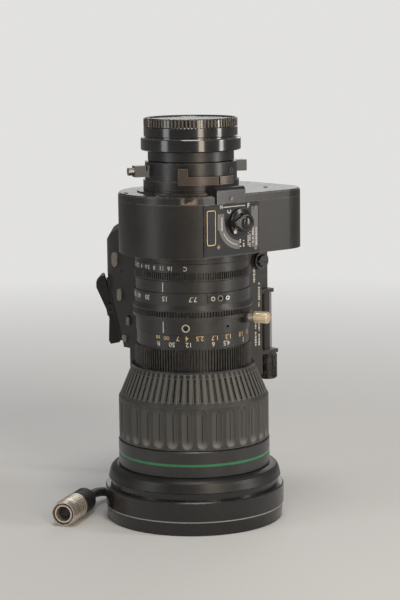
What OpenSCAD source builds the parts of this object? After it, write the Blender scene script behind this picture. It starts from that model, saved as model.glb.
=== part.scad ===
// Broadcast zoom lens, standing on the rim of its hood with the rear cap on.
// Origin: on the optical axis, at the plane of the hood's rim. +Z points to the rear of the lens,
// -X to its top, -Y to the operator's side and +Y to the drive unit.

/* [Hood and front] */
// How far the hood stands out past the front barrel
hood_out = 8.8; // [8.2:0.1:11]
// Height of the hood's body, from the rim to its neck
hood_body_h = 21.4; // [18:0.1:26]
// Height of the tapered lip at the rim
hood_lip_h = 8.8; // [5:0.1:12]
// How far the lip tapers in at the rim
hood_lip_taper = 1.2; // [0.5:0.1:2]
// How far the seat inside the rim, for a filter or a front cap, lies past the front barrel
filter_seat_out = 4.3; // [3:0.1:5.2]
// How far the hood's bore above that seat lies past the front barrel
hood_bore_out = 0.8; // [-1:0.1:1.2]
// Height of the neck above the hood's body
hood_neck_h = 4.6; // [3:0.1:8]
// How far that neck stands out past the front barrel
neck_out = 5.4; // [4:0.1:5.8]
// Chamfer on the hood's edges
hood_edge = 0.7; // [0.3:0.1:1]
// Height of the rounded adapter above the hood
adapter_h = 8.5; // [7:0.1:12]
// How far the adapter's lower edge stands out past the front barrel
adapter_out = 6.8; // [6:0.1:7.8]
// Wall of the front barrel round the front lens
front_wall = 4.3; // [3.6:0.1:5]
// Height of the front barrel
front_h = 16.5; // [15:0.1:20]
// Width of the painted stripe's groove on the front barrel
stripe_h = 2.2; // [1:0.1:3]
// Height of that groove above the adapter
stripe_up = 7; // [5:0.1:9]
// Depth of that groove
stripe_depth = 0.25; // [0.1:0.05:0.5]
// Radius of the front lens
front_lens_r = 43.9; // [42.5:0.1:44]
// Thickness of the front lens at its edge
front_lens_edge = 8; // [6:0.1:9]
// How far the front lens bulges towards the hood's mouth
front_lens_bulge = 7.5; // [5:0.1:8.5]
// Height of the ring that holds the front lens in
retainer_h = 3; // [2:0.1:4]
// Width of the retaining ring, from its inner edge to its outer
retainer_w = 3.4; // [2.5:0.1:4.5]

/* [Focus ring] */
// How far the rubber grip lies inside the front barrel
grip_in = 0.5; // [0.2:0.1:1.4]
// Height of the grip's band with the oval scallops
grip_band_h = 28.3; // [26:0.1:32]
// Height of the slotted flare above that band
flare_h = 19.7; // [17:0.1:24]
// How far the foot of the flare lies inside the band
flare_in = 1.1; // [0.9:0.1:1.7]
// How far the top of the flare stands out past the fine teeth
flare_lip = 2.6; // [2:0.1:3.7]
// Thickness of the rubber
rubber_t = 2.4; // [2:0.1:2.6]
// Number of oval scallops round the grip
scallops = 32; // [20:1:36]
// Length of one scallop
scallop_len = 25; // [18:0.1:25.6]
// Radius of the round cutter that leaves a scallop
scallop_r = 4.6; // [4:0.1:7]
// Depth of a scallop
scallop_depth = 1.5; // [0.6:0.1:1.6]
// Number of slots round the flare
slots = 64; // [40:1:66]
// Width of one slot
slot_w = 1.8; // [0.8:0.1:2]
// Depth of one slot
slot_depth = 1.3; // [0.5:0.1:1.4]
// Height of the fine gear teeth on the focus ring
focus_gear_h = 14; // [10:0.1:18]
// Number of fine teeth on the focus ring
focus_teeth = 120; // [100:1:140]
// Height of the focus scale
focus_scale_h = 9; // [7:0.1:12]
// Wall of the focus scale over the barrel
scale_wall = 2.5; // [1.8:0.1:2.8]

/* [Barrel] */
// Outer radius of the slim fixed barrel
barrel_r = 33; // [32.6:0.1:33.4]
// Wall of the slim barrel
barrel_wall = 2.2; // [1.8:0.1:2.6]
// Wall of the focus ring round the barrel's wide front end
focus_wall = 2.2; // [1.9:0.1:3]
// Wall of the wide front end
bell_wall = 2.2; // [1.8:0.1:2.6]
// Bore of the fixed lens seats
light_r = 15; // [13:0.1:16]
// Wall of the fixed index rings over the barrel
index_wall = 3; // [2.6:0.1:3.2]
// Height of the fixed ring above the focus ring
focus_index_h = 8.5; // [7:0.1:11]
// Height of the fixed ring between the zoom ring and the iris ring
zoom_index_h = 7; // [5:0.1:9]
// Radius of the threaded accessory hole in the focus index ring
accessory_hole_r = 1.65; // [1.2:0.05:2]
// Radial clearance of a ring or shaft that turns in its bearing
run_fit = 0.06; // [0.03:0.01:0.09]
// Gap between neighbouring rings
ring_gap = 0.3; // [0.2:0.05:0.5]

/* [Zoom ring] */
// Height of the zoom ring
zoom_h = 17.5; // [15:0.1:21]
// Wall of the zoom ring under its number band
zoom_wall = 3.5; // [3.2:0.1:3.8]
// Height of the zoom ring's gear teeth
zoom_gear_h = 3.4; // [3:0.1:4]
// Height of the zoom teeth's pitch line over the number band
zoom_pitch_out = 0.7; // [0.6:0.05:0.75]
// Number of teeth on the zoom ring
zoom_teeth = 124; // [122:1:125]
// Number of teeth on the zoom drive gear
zoom_pinion_teeth = 44; // [43:1:45]
// Direction of the zoom lever round the axis
lever_az = -66; // [-74:1:-60]
// Radius of the zoom lever's shaft
lever_shaft_r = 2.3; // [1.5:0.1:2.6]
// Length of the shaft that shows between the ring and the knob
lever_shaft_len = 3.9; // [3:0.1:6]
// Radius of the zoom lever's knurled knob
lever_knob_r = 3.7; // [3:0.1:4.4]
// Length of that knob
lever_knob_len = 9.4; // [8:0.1:13]
// Zoom travel from rest to the wide end, in degrees
zoom_wide_deg = 29; // [20:1:30]
// Zoom travel from rest to the long end, in degrees
zoom_tele_deg = 50; // [40:1:50]

/* [Iris ring] */
// Height of the iris ring
iris_h = 11; // [9:0.1:14]
// Wall of the iris ring over the barrel
iris_wall = 3; // [2.6:0.1:3.3]
// Height of the iris ring's gear teeth
iris_gear_h = 4.4; // [3.5:0.1:5]
// Height of those teeth above the ring's foot
iris_gear_up = 0.8; // [0.5:0.1:1.5]
// Height of the iris teeth's pitch line over the iris ring
iris_pitch_out = 0.5; // [0.45:0.05:0.55]
// Number of teeth on the iris ring
iris_teeth = 146; // [144:1:147]
// Number of teeth on the iris drive gear
iris_pinion_teeth = 50; // [48:1:51]

/* [Extender] */
// How far the housing's round end stands out past the barrel
ext_out = 13; // [12:0.1:14]
// How far the housing's flat sides stand out past the barrel
ext_side = 6.5; // [6:0.1:7.5]
// How far the housing's square end stands out past the barrel
ext_reach_out = 36; // [32:0.1:38]
// Radius of the housing's corners
ext_corner_r = 22; // [16:0.1:24]
// Wall of the extender housing
ext_wall = 2.4; // [1.8:0.1:2.8]
// Height of the collar between the iris ring and the housing
collar_h = 4.3; // [3:0.1:7]
// Height of the extender housing
ext_h = 32.7; // [30:0.1:38]
// Thickness of the housing's floor
ext_floor = 3; // [2:0.1:4]
// Height of the extender lid
lid_h = 6; // [4.5:0.1:8]
// Height of the lid's stepped upper edge
lid_step = 0.8; // [0.5:0.1:1.2]
// Width of the block on the lid
lid_block_w = 23; // [18:0.1:26]
// Height of that block
lid_block_h = 10; // [9:0.1:13]
// Depth of that block
lid_block_d = 6; // [4:0.1:7]
// Distance of the turret's pivot from the optical axis
turret_pivot = 19; // [18.4:0.1:19.1]
// Outer radius of each tube of the turret
turret_tube_r = 16; // [15.4:0.1:16.1]
// Distance of the extender knob from the axis
knob_x = 5; // [3:0.1:8]
// Height of the extender knob above the housing's foot
knob_up = 20.5; // [17:0.1:22]
// Radius of the black disc under the knob
knob_disc_r = 8.6; // [7:0.1:9.5]
// Radius of the knob's round head
knob_head_r = 6; // [5:0.1:6.6]
// Height of the knob's head above its disc
knob_head_h = 7; // [4:0.1:8]
// Length of the knob's pointer from its centre
knob_pointer = 10.3; // [8:0.1:11]
// Radius of the knob's shaft
knob_shaft_r = 3; // [2:0.1:3.5]

/* [Rear] */
// Radius of the rear tube on which the rear rings turn
rear_tube_r = 25; // [24.6:0.1:25.4]
// Height of the macro ring
macro_h = 5.2; // [4:0.1:6.5]
// Outer radius of the macro ring
macro_r = 30; // [29.4:0.1:30.5]
// Height of the flange-back ring
flange_ring_h = 11; // [10:0.1:14]
// Outer radius of the flange-back ring
flange_ring_r = 28.8; // [28.2:0.1:29]
// Height of the rear mount's flange
mount_h = 6.7; // [5:0.1:9]
// Radius of the rear mount's flange
mount_r = 27; // [26.5:0.1:28]
// Radius across the bayonet's three tabs
bayonet_r = 24.5; // [24:0.1:24.6]
// Radius of the tail tube inside the cap
tail_r = 18; // [17:0.1:19]
// Height of the tail tube above the flange
tail_h = 11; // [9:0.1:11.5]

/* [Rear cap] */
// Radius of the cap's flange
cap_flange_r = 31.3; // [30:0.1:32]
// Height of the cap's flange
cap_flange_h = 7.7; // [6:0.1:9]
// Radius of the cap's body
cap_r = 29.4; // [28:0.1:29.8]
// Full height of the cap
cap_h = 20; // [19:0.1:24]
// Height of the cap's knurled band
cap_knurl_h = 5.2; // [4:0.1:7]
// Number of ribs in the knurled band
cap_ribs = 80; // [50:1:84]
// Thickness of the cap's top
cap_top_t = 2.5; // [1.5:0.1:2.6]

/* [Drive unit] */
// Distance from the axis to the drive unit's top face
drive_top = 6; // [4:0.1:7]
// Depth of the drive unit, from its bore to its outer side
hand_depth = 59.4; // [58:0.1:63]
// Distance from that bore to the split between case and bottom cover
split_out = 15.9; // [15.5:0.1:18]
// Depth of the bottom cover
cover_depth = 9.5; // [9:0.1:13]
// How far the case reaches past the axis on the operator's side
drive_near = 8; // [7:0.1:8.6]
// Clearance between the rings and the drive unit
drive_gap = 2.8; // [2.5:0.1:3]
// Radius of the case's shoulder under the hand
shoulder_r = 30; // [26:0.1:32]
// Radius of the case's other outer corner
drive_corner_r = 10; // [6:0.1:10]
// Wall of the drive unit
drive_wall = 2.5; // [2:0.1:2.8]
// Gap between the rubber grip and the drive unit
drive_lift = 2; // [1.6:0.1:4]
// How far the drive unit runs up beside the extender housing
drive_rise = 11.7; // [9:0.1:14]
// Distance from the bore to the shoulder's flat facet at the rocker
facet_gap = 9.4; // [8.4:0.1:10.4]
// Tilt of that facet, in degrees
facet_tilt = 10.4; // [9:0.1:11]
// Direction of the facet round the axis
facet_az = 140; // [138:1:142]

/* [Controls] */
// Length of the zoom rocker
rocker_len = 46; // [40:0.1:48]
// Width of the zoom rocker
rocker_w = 15; // [12:0.1:18]
// Length of the return button
ret_len = 9.8; // [8:0.1:14]
// Width of the return button
ret_w = 6; // [5:0.1:7]
// Length of the record button
rec_len = 8; // [6:0.1:10]
// Width of the record button
rec_w = 4.6; // [4:0.1:5.4]
// Radius of the momentary iris button
iris_button_r = 2.4; // [2:0.1:2.8]
// How far the buttons stand proud
button_proud = 1.3; // [1.1:0.1:1.6]
// Length of the iris switch's slider
switch_len = 5; // [4:0.1:6]
// Width of the iris switch's slider
switch_w = 3; // [2.4:0.1:3.6]
// Travel of the iris switch
switch_travel = 3; // [2:0.1:4]
// Radius of the round servo knob
servo_knob_r = 5.6; // [4.5:0.1:6]
// Height of the round servo knob
servo_knob_h = 4; // [3:0.1:5]
// Radius of the knurled speed knob
speed_knob_r = 6.2; // [5:0.1:6.4]
// Height of the knurled speed knob
speed_knob_h = 17; // [12:0.1:18]
// Number of ribs on the speed knob
speed_ribs = 30; // [20:1:36]

/* [Hand strap] */
// Width of the strap's webbing
strap_w = 23; // [19:0.1:23]
// How far the strap bulges past the drive unit
strap_bulge = 22; // [18:0.1:26]
// Thickness of the webbing
strap_t = 1.8; // [1.2:0.1:2.4]
// Thickness of the pad under the webbing
pad_t = 4; // [3:0.1:5]
// Height of a strap bracket off the drive unit
bracket_t = 4; // [3:0.1:5]
// Length of a strap bracket
bracket_h = 10; // [8:0.1:12]

/* [Lead and plug] */
// Diameter of the lead
lead_d = 6; // [5.5:0.1:6.4]
// Radius of the plug's metal shell
plug_r = 8.2; // [7.7:0.1:8.8]
// Length of the plug's metal shell
plug_len = 22; // [19:0.1:26]
// Length of the plug's rubber boot
boot_len = 27; // [23:0.1:30]
// Length of the gland under the drive unit
gland_len = 11; // [8:0.1:13]

/* [Hidden] */
$fn = 96;

// Shared small sizes
over = 1;
seat_gap = 0.05;
free_gap = 0.3;
edge = 0.5;

// Radii, each from what it surrounds
front_r = front_lens_r + front_wall;
hood_r = front_r + hood_out;
filter_seat_r = front_r + filter_seat_out;
hood_bore_r = front_r + hood_bore_out;
hood_neck_r = front_r + neck_out;
adapter_r = front_r + adapter_out;
grip_r = front_r - grip_in;
flare_foot_r = grip_r - flare_in;
bell_r = grip_r - rubber_t - focus_wall - free_gap;
index_r = barrel_r + index_wall;
focus_scale_r = barrel_r + scale_wall;
zoom_r = barrel_r + zoom_wall;
iris_r = barrel_r + iris_wall;
ext_r = barrel_r + ext_out;
ext_half_w = barrel_r + ext_side;
ext_reach = barrel_r + ext_reach_out;
zoom_rim_out = 1.3;
drive_bore_r = zoom_r + zoom_rim_out + drive_gap;
drive_split = drive_bore_r + split_out;
drive_bottom = drive_split + cover_depth;
drive_side = drive_bore_r + hand_depth;
facet_out = drive_bore_r + facet_gap;

// Heights of the stacked pieces, from the rim upwards
z_neck = hood_body_h;
z_adapter = z_neck + hood_neck_h;
z_front = z_adapter + adapter_h;
z_focus = z_front + front_h;
z_flare = z_focus + grip_band_h;
z_focus_gear = z_flare + flare_h;
z_focus_scale = z_focus_gear + focus_gear_h;
z_focus_index = z_focus_scale + focus_scale_h;
z_zoom = z_focus_index + focus_index_h;
z_zoom_index = z_zoom + zoom_h;
z_iris = z_zoom_index + zoom_index_h;
z_collar = z_iris + iris_h;
z_ext = z_collar + collar_h;
z_lid = z_ext + ext_h;
z_rear = z_lid + lid_h;
rear_base_h = 1.2;
z_macro = z_rear + rear_base_h + free_gap;
z_flange_ring = z_macro + macro_h + free_gap;
z_mount = z_flange_ring + flange_ring_h + free_gap;
z_cap = z_mount + mount_h;
z_cap_top = z_cap + cap_h;

// Gear teeth, as shares of the module
tooth_out_share = 0.8;
tooth_in_share = 1.3;
tooth_core_share = 1.05;
tooth_half_share = 0.62;
tooth_flank_deg = 20;

// Pitch radii and the places of the two drive gears
zoom_pitch_r = zoom_r + zoom_pitch_out;
zoom_module = 2 * zoom_pitch_r / zoom_teeth;
zoom_pinion_r = zoom_pinion_teeth * zoom_module / 2;
zoom_gear_az = 62;
zoom_gear_dist = zoom_pitch_r + zoom_pinion_r;
iris_pitch_r = iris_r + iris_pitch_out;
iris_module = 2 * iris_pitch_r / iris_teeth;
iris_pinion_r = iris_pinion_teeth * iris_module / 2;
iris_gear_az = 17;
iris_gear_dist = iris_pitch_r + iris_pinion_r;
gear_shaft_r = 1.5;
z_iris_gear = z_iris + ring_gap + iris_gear_up;

// Ring places after their gaps
z_zoom_foot = z_zoom + ring_gap;
zoom_foot_h = 2.2;
z_zoom_teeth = z_zoom_foot + zoom_foot_h;
z_zoom_gear_top = z_zoom_teeth + zoom_gear_h;
bearing_r = barrel_r + run_fit;

// A ring with a plain bore, from one height to another
module tube(outer, inner, low, high) {
  translate([0, 0, low]) difference() {
    cylinder(r = outer, h = high - low);
    translate([0, 0, -over]) cylinder(r = inner, h = high - low + 2 * over);
  }
}

// A solid disc, from one height to another
module disc(outer, low, high) {
  translate([0, 0, low]) cylinder(r = outer, h = high - low);
}

// A wedge about the axis between two directions, reaching past a radius
wedge_steps = 4;
wedge_reach_share = 1.5;
module wedge(reach, from_az, to_az, low, high) {
  swing = (to_az - from_az) / wedge_steps;
  rim = [for (i = [0 : wedge_steps]) reach * wedge_reach_share
    * [cos(from_az + i * swing), sin(from_az + i * swing)]];
  translate([0, 0, low]) linear_extrude(high - low) polygon(concat([[0, 0]], rim));
}

// Outline of a gear with straight-flanked teeth, one tooth centred on +X
module gear_outline(teeth, modul) {
  pitch = teeth * modul / 2;
  tip = pitch + tooth_out_share * modul;
  root = pitch - tooth_in_share * modul;
  half = tooth_half_share * modul;
  tip_half = half - tooth_out_share * modul * tan(tooth_flank_deg);
  root_half = half + tooth_in_share * modul * tan(tooth_flank_deg);
  step = 360 / teeth;
  function spot(r, side, i) = r * [cos(i * step + asin(side / r)), sin(i * step + asin(side / r))];
  polygon([for (i = [0 : teeth - 1]) each [spot(root, -root_half, i), spot(tip, -tip_half, i),
    spot(tip, tip_half, i), spot(root, root_half, i)]]);
}

// A cylinder that points outwards from the axis at a height, between two distances
module spoke(r, az, height, near, far) {
  rotate([0, 0, az]) translate([near, 0, height]) rotate([0, 90, 0]) cylinder(r = r, h = far - near);
}

// A box that points outwards from the axis, centred across
module block(az, near, far, width, low, high) {
  rotate([0, 0, az]) translate([near, -width / 2, low]) cube([far - near, width, high - low]);
}

// Hood: stands on its rim, with a tapered lip, a body and a slim neck
module hood() {
  color("#1d1d1f") rotate_extrude() polygon([
    [filter_seat_r, 0], [hood_r - hood_lip_taper, 0], [hood_r - edge, hood_lip_h - hood_edge],
    [hood_r, hood_lip_h], [hood_r, z_neck - hood_edge], [hood_r - hood_edge, z_neck],
    [hood_neck_r, z_neck], [hood_neck_r, z_adapter], [hood_bore_r, z_adapter],
    [hood_bore_r, z_neck], [filter_seat_r - hood_edge, hood_lip_h], [filter_seat_r, hood_lip_h]]);
}

// Adapter: rounded shoulder between the hood and the front barrel
shoulder_out_shares = [0, 0.16, 0.3, 0.52, 0.78, 1];
shoulder_up_shares = [0.06, 0.5, 0.72, 0.87, 0.95, 1];
adapter_top_r = front_r + 1.3;
module hood_adapter() {
  fall = adapter_r - adapter_top_r;
  curve = [for (i = [0 : len(shoulder_out_shares) - 1])
    [adapter_r - fall * shoulder_out_shares[i], z_adapter + adapter_h * shoulder_up_shares[i]]];
  color("#232325") rotate_extrude() polygon(concat([[hood_bore_r, z_adapter],
    [adapter_r - edge, z_adapter]], curve, [[front_lens_r + free_gap, z_front],
    [front_lens_r + free_gap, z_front - retainer_h]]));
}

// Front barrel: holds the front lens and carries the painted stripe in a shallow groove
ledge_w = 2;
z_ledge = z_front + retainer_h + front_lens_edge;
module front_barrel() {
  z_stripe = z_front + stripe_up;
  z_foot = z_front;
  color("#202022") rotate_extrude() polygon([
    [front_lens_r + seat_gap, z_foot], [front_r - edge, z_foot], [front_r, z_foot + edge],
    [front_r, z_stripe], [front_r - stripe_depth, z_stripe],
    [front_r - stripe_depth, z_stripe + stripe_h], [front_r, z_stripe + stripe_h],
    [front_r, z_focus - edge], [front_r - edge, z_focus], [front_lens_r - ledge_w, z_focus],
    [front_lens_r - ledge_w, z_ledge], [front_lens_r + seat_gap, z_ledge]]);
}

// Retaining ring in front of the front lens
module front_retainer() {
  color("#161617") tube(front_lens_r, front_lens_r - retainer_w, z_front, z_front + retainer_h);
}

// Height of a shallow dome over its rim, at a distance from its centre
lens_rings = 8;
function ball(r, bulge) = (r * r + bulge * bulge) / (2 * bulge);
function dome(r, bulge, x) = sqrt(pow(ball(r, bulge), 2) - x * x) - ball(r, bulge) + bulge;

// Front lens: bulges towards the hood's mouth, inside the retaining ring
module front_lens() {
  z_edge = z_front + retainer_h;
  reach = front_lens_r - retainer_w - free_gap;
  color("#5f7f8c") rotate_extrude() polygon(concat(
    [for (i = [0 : lens_rings]) [reach * i / lens_rings,
      z_edge - dome(front_lens_r, front_lens_bulge, reach * i / lens_rings)]],
    [[reach, z_edge], [front_lens_r, z_edge], [front_lens_r, z_ledge], [0, z_ledge]]));
}

// Biconvex lens of a radius, between two heights
lens_bulge_share = 0.3;
module round_lens(r, low, high) {
  bulge = (high - low) * lens_bulge_share;
  rotate_extrude() polygon(concat(
    [for (i = [0 : lens_rings]) [r * i / lens_rings, low + bulge - dome(r, bulge, r * i / lens_rings)]],
    [for (i = [lens_rings : -1 : 0])
      [r * i / lens_rings, high - bulge + dome(r, bulge, r * i / lens_rings)]]));
}

// Fixed lenses: front doublet, relay lens and rear lens
doublet_t = 8;
relay_t = 6;
rear_lens_t = 4;
z_rib = z_focus + doublet_t + ring_gap;
rib_h = 2;
flange_t = 12.3;
z_relay_flange = z_ext - flange_t;
relay_step = 1.5;
module inner_lenses() {
  color("#7f97a0") {
    round_lens(bell_r - bell_wall - seat_gap, z_rib - doublet_t, z_rib);
    round_lens(light_r - seat_gap, z_ext - relay_step - relay_t, z_ext - relay_step);
    round_lens(tail_r - mount_wall - seat_gap, z_tail_top - rear_lens_t, z_tail_top - edge);
  }
}

// Main barrel: wide front end, cone, slim tube and the flange that seats the relay lens
cone_foot = 1.4;
module main_barrel() {
  z_cone = z_flare + cone_foot;
  inner = barrel_r - barrel_wall;
  color("#2b2b2d") difference() {
    rotate_extrude() polygon([
      [bell_r - bell_wall, z_focus], [bell_r, z_focus], [bell_r, z_cone],
      [barrel_r, z_focus_gear], [barrel_r, z_ext], [light_r - relay_step, z_ext],
      [light_r - relay_step, z_ext - relay_step], [light_r, z_ext - relay_step],
      [light_r, z_relay_flange], [inner, z_relay_flange], [inner, z_focus_gear],
      [bell_r - bell_wall, z_cone], [bell_r - bell_wall, z_rib + rib_h],
      [bell_r - bell_wall - ledge_w, z_rib + rib_h], [bell_r - bell_wall - ledge_w, z_rib],
      [bell_r - bell_wall, z_rib]]);
    wedge(barrel_r, pin_az - zoom_wide_deg - slot_spare_deg, pin_az + zoom_tele_deg + slot_spare_deg,
      z_pin - pin_r - free_gap, z_pin + pin_r + free_gap);
    for (side = [-1, 1]) translate([0, side * rod_out, z_relay_flange - over])
      cylinder(r = rod_r + seat_gap, h = over + rod_seat);
  }
}

module focus_ring() {
  low = z_focus + ring_gap;
  gear_module = focus_module;
  top = z_focus_index - ring_gap;
  lip = z_focus_gear - flange_lip;
  color("#1f1f21") union() {
    rotate_extrude() polygon([
      [bell_r + free_gap, low], [grip_r - rubber_t, low], [grip_r - rubber_t, z_flare],
      [flare_top_r - rubber_t + edge, lip], [flare_top_r - edge, lip],
      [flare_top_r - edge, z_focus_gear],
      [focus_root_r, z_focus_gear], [focus_root_r, z_focus_scale - edge],
      [focus_scale_r, z_focus_scale - edge], [focus_scale_r, top],
      [bearing_r, top], [bearing_r, z_focus_gear + edge], [bell_r + free_gap, z_flare + cone_foot]]);
    translate([0, 0, z_focus_gear - edge]) linear_extrude(focus_gear_h) difference() {
      gear_outline(focus_teeth, gear_module);
      circle(r = focus_root_r - edge);
    }
  }
}
flange_lip = 1.2;
focus_tooth_out = 1.3;
focus_tip_r = focus_scale_r + focus_tooth_out;
flare_top_r = focus_tip_r + flare_lip;
focus_module = 2 * focus_tip_r / (focus_teeth + 2 * tooth_out_share);
focus_root_r = focus_teeth * focus_module / 2 - tooth_core_share * focus_module;

// Rubber grip: a band of oval scallops below a flare with narrow slots
grip_lip = 1;
slot_end_share = 0.06;
module focus_grip() {
  low = z_focus + ring_gap;
  high = z_focus_gear - flange_lip;
  inner = grip_r - rubber_t + seat_gap;
  inner_top = flare_top_r - rubber_t + edge + seat_gap;
  slope = atan((flare_foot_r - flare_top_r) / (high - z_flare - grip_lip));
  mouth = sqrt(scallop_r * scallop_r - pow(scallop_r - scallop_depth, 2));
  straight = scallop_len - 2 * mouth;
  z_mid = (low + z_flare - grip_lip) / 2;
  color("#55575a") difference() {
    rotate_extrude() polygon([
      [inner, low], [grip_r - edge, low], [grip_r, low + edge], [grip_r, z_flare - grip_lip],
      [grip_r - edge, z_flare], [flare_foot_r, z_flare + grip_lip],
      [flare_top_r, high - edge], [flare_top_r - edge, high], [inner_top, high], [inner, z_flare]]);
    for (i = [0 : scallops - 1]) rotate([0, 0, i * 360 / scallops])
      translate([grip_r + scallop_r - scallop_depth, 0, z_mid]) {
        translate([0, 0, -straight / 2]) cylinder(r = scallop_r, h = straight, $fn = 32);
        for (side = [-1, 1]) translate([0, 0, side * straight / 2]) sphere(r = scallop_r, $fn = 32);
      }
    for (i = [0 : slots - 1]) rotate([0, 0, i * 360 / slots])
      translate([flare_foot_r, 0, z_flare + grip_lip]) rotate([0, -slope, 0])
        translate([-slot_depth, -slot_w / 2, flare_h * slot_end_share])
          cube([2 * slot_depth, slot_w, flare_h * (1 - 4 * slot_end_share)]);
  }
}

// Lens cells slide on two rods inside the barrel
cam_t = 1.2;
cam_gap = 0.35;
cell_gap = 1.05;
cell_r = barrel_r - barrel_wall - cam_gap - cam_t - cell_gap;
rod_r = 1.2;
rod_in = 3.2;
rod_out = cell_r - rod_in;
rod_seat = 1.5;
rod_rise = 4;
rod_low = z_focus + doublet_t + rib_h + rod_rise;
cell_lip = 1;
module cell(low, high, glass_r) {
  difference() {
    disc(cell_r, low, high);
    disc(glass_r - cell_lip, low - over, high + over);
    disc(glass_r + seat_gap, low + cell_lip, high + over);
    for (side = [-1, 1]) translate([0, side * rod_out, low - over])
      cylinder(r = rod_r + run_fit, h = high - low + 2 * over);
  }
}

focus_glass_r = 21;
focus_cell_h = 7;
focus_stroke = 8;
z_focus_cell = z_flare + focus_stroke + cone_foot;
module focus_cell() {
  color("#39393b") cell(z_focus_cell, z_focus_cell + focus_cell_h, focus_glass_r);
}
module focus_lens() {
  color("#7f97a0") round_lens(focus_glass_r, z_focus_cell + cell_lip, z_focus_cell + focus_cell_h);
}

variator_h = 8;
variator_glass_r = 18;
variator_back = 4;
z_variator = z_focus_index - variator_back;
module variator_cell() {
  color("#39393b") cell(z_variator, z_variator + variator_h, variator_glass_r);
}
module variator_lens() {
  color("#7f97a0") round_lens(variator_glass_r, z_variator + cell_lip, z_variator + variator_h);
}

compensator_h = 6;
compensator_glass_r = 17;
compensator_back = 2;
z_compensator = z_zoom_index - compensator_back;
module compensator_cell() {
  color("#39393b")
    cell(z_compensator, z_compensator + compensator_h, compensator_glass_r);
}
module compensator_lens() {
  color("#7f97a0") round_lens(compensator_glass_r, z_compensator + cell_lip,
    z_compensator + compensator_h);
}

module guide_rods() {
  color("#b9babd") for (side = [-1, 1]) translate([0, side * rod_out, rod_low])
    cylinder(r = rod_r, h = z_relay_flange + rod_seat - rod_low);
}

// Cam tube: turns with the zoom ring, driven by a pin through a slot in the barrel
pin_r = 1.5;
pin_az = 110;
pin_back = 5;
z_pin = z_zoom_index - pin_back;
slot_spare_deg = 5;
module zoom_cam_tube() {
  outer = barrel_r - barrel_wall - cam_gap;
  color("#a8a9ab") union() {
    tube(outer, outer - cam_t, z_focus_gear + over, z_relay_flange - iris_t - 2 * free_gap);
    spoke(pin_r, pin_az, z_pin, outer - cam_t / 2, bearing_r + pin_seat - seat_gap);
  }
}
pin_seat = 1.2;

// Fixed rings with index lines; the focus index ring has a threaded accessory hole
accessory_az = -137;
small_hole_az = -93;
small_hole_r = 0.9;
accessory_depth = 2.2;
line_w = 0.6;
line_depth = 0.2;
index_az = -158;
module focus_index_ring() {
  z_hole = z_focus_index + focus_index_h / 2;
  color("#252527") difference() {
    tube(index_r, barrel_r + seat_gap, z_focus_index, z_zoom);
    spoke(accessory_hole_r, accessory_az, z_hole, index_r - accessory_depth, index_r + over);
    spoke(small_hole_r, small_hole_az, z_hole, index_r - accessory_depth, index_r + over);
    block(index_az, index_r - line_depth, index_r + over, line_w, z_focus_index - over,
      z_zoom - focus_index_h / 4);
  }
}

module zoom_index_ring() {
  color("#252527") difference() {
    tube(index_r, barrel_r + seat_gap, z_zoom_index, z_iris);
    block(index_az, index_r - line_depth, index_r + over, line_w, z_zoom_index + zoom_index_h / 4,
      z_iris - zoom_index_h / 4);
  }
}

// Zoom ring: a plain foot, gear teeth, a flared rim, the number band and the lug for the lever
zoom_rim_h = 0.9;
zoom_flare_h = 3;
lug_w = 7;
lug_proud = 2.5;
lug_out = zoom_r + lug_proud;
lug_drop = 6;
lever_back = 0.2;
z_lever = z_zoom - lever_back;
spigot_r = 1.4;
spigot_len = 1.6;
module zoom_ring() {
  top = z_zoom_index - ring_gap;
  rim_top = z_zoom_gear_top + zoom_rim_h;
  rim_r = zoom_r + zoom_rim_out;
  core = zoom_pitch_r - tooth_core_share * zoom_module;
  color("#1f1f21") difference() {
    union() {
      rotate_extrude() polygon([
        [bearing_r, z_zoom_foot], [rim_r, z_zoom_foot], [rim_r, z_zoom_teeth],
        [core, z_zoom_teeth], [core, z_zoom_gear_top], [rim_r, z_zoom_gear_top],
        [rim_r, rim_top], [zoom_r, rim_top + zoom_flare_h], [zoom_r, top], [bearing_r, top]]);
      translate([0, 0, z_zoom_teeth - edge]) rotate([0, 0, zoom_gear_az])
        linear_extrude(zoom_gear_h + 2 * edge) difference() {
          gear_outline(zoom_teeth, zoom_module);
          circle(r = core - edge);
        }
      difference() {
        block(lever_az, barrel_r + over, lug_out, lug_w, z_lever - lug_w / 2,
          z_lever - lug_w / 2 + lug_drop);
        disc(index_r + free_gap, z_focus_index - over, z_zoom_foot);
      }
    }
    spoke(spigot_r + seat_gap, lever_az, z_lever, lug_out - spigot_len, lug_out + over);
    spoke(pin_r + seat_gap, pin_az, z_pin, barrel_r, bearing_r + pin_seat);
  }
}

// Curved plate on the zoom ring, with two screw heads and a threaded hole
plate_az = -103;
plate_w = 16;
plate_h = 5.4;
plate_t = 0.8;
plate_screw_r = 1.4;
plate_pitch = 5;
module zoom_plate() {
  low = z_zoom_index - ring_gap - plate_h - edge;
  inner = zoom_r + seat_gap;
  mid = low + plate_h / 2;
  color("#3a3a3c") difference() {
    union() {
      intersection() {
        tube(inner + plate_t, inner - over, low, low + plate_h);
        block(plate_az, barrel_r, inner + 2 * over, plate_w, low - over, low + plate_h + over);
      }
      for (side = [-1, 1]) rotate([0, 0, plate_az]) translate([barrel_r, side * plate_pitch, mid])
        rotate([0, 90, 0]) cylinder(r = plate_screw_r, h = inner + plate_t + edge / 2 - barrel_r);
    }
    disc(inner, low - over, low + plate_h + over);
    spoke(plate_screw_r, plate_az, mid, barrel_r, inner + 2 * plate_t);
  }
}

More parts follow.
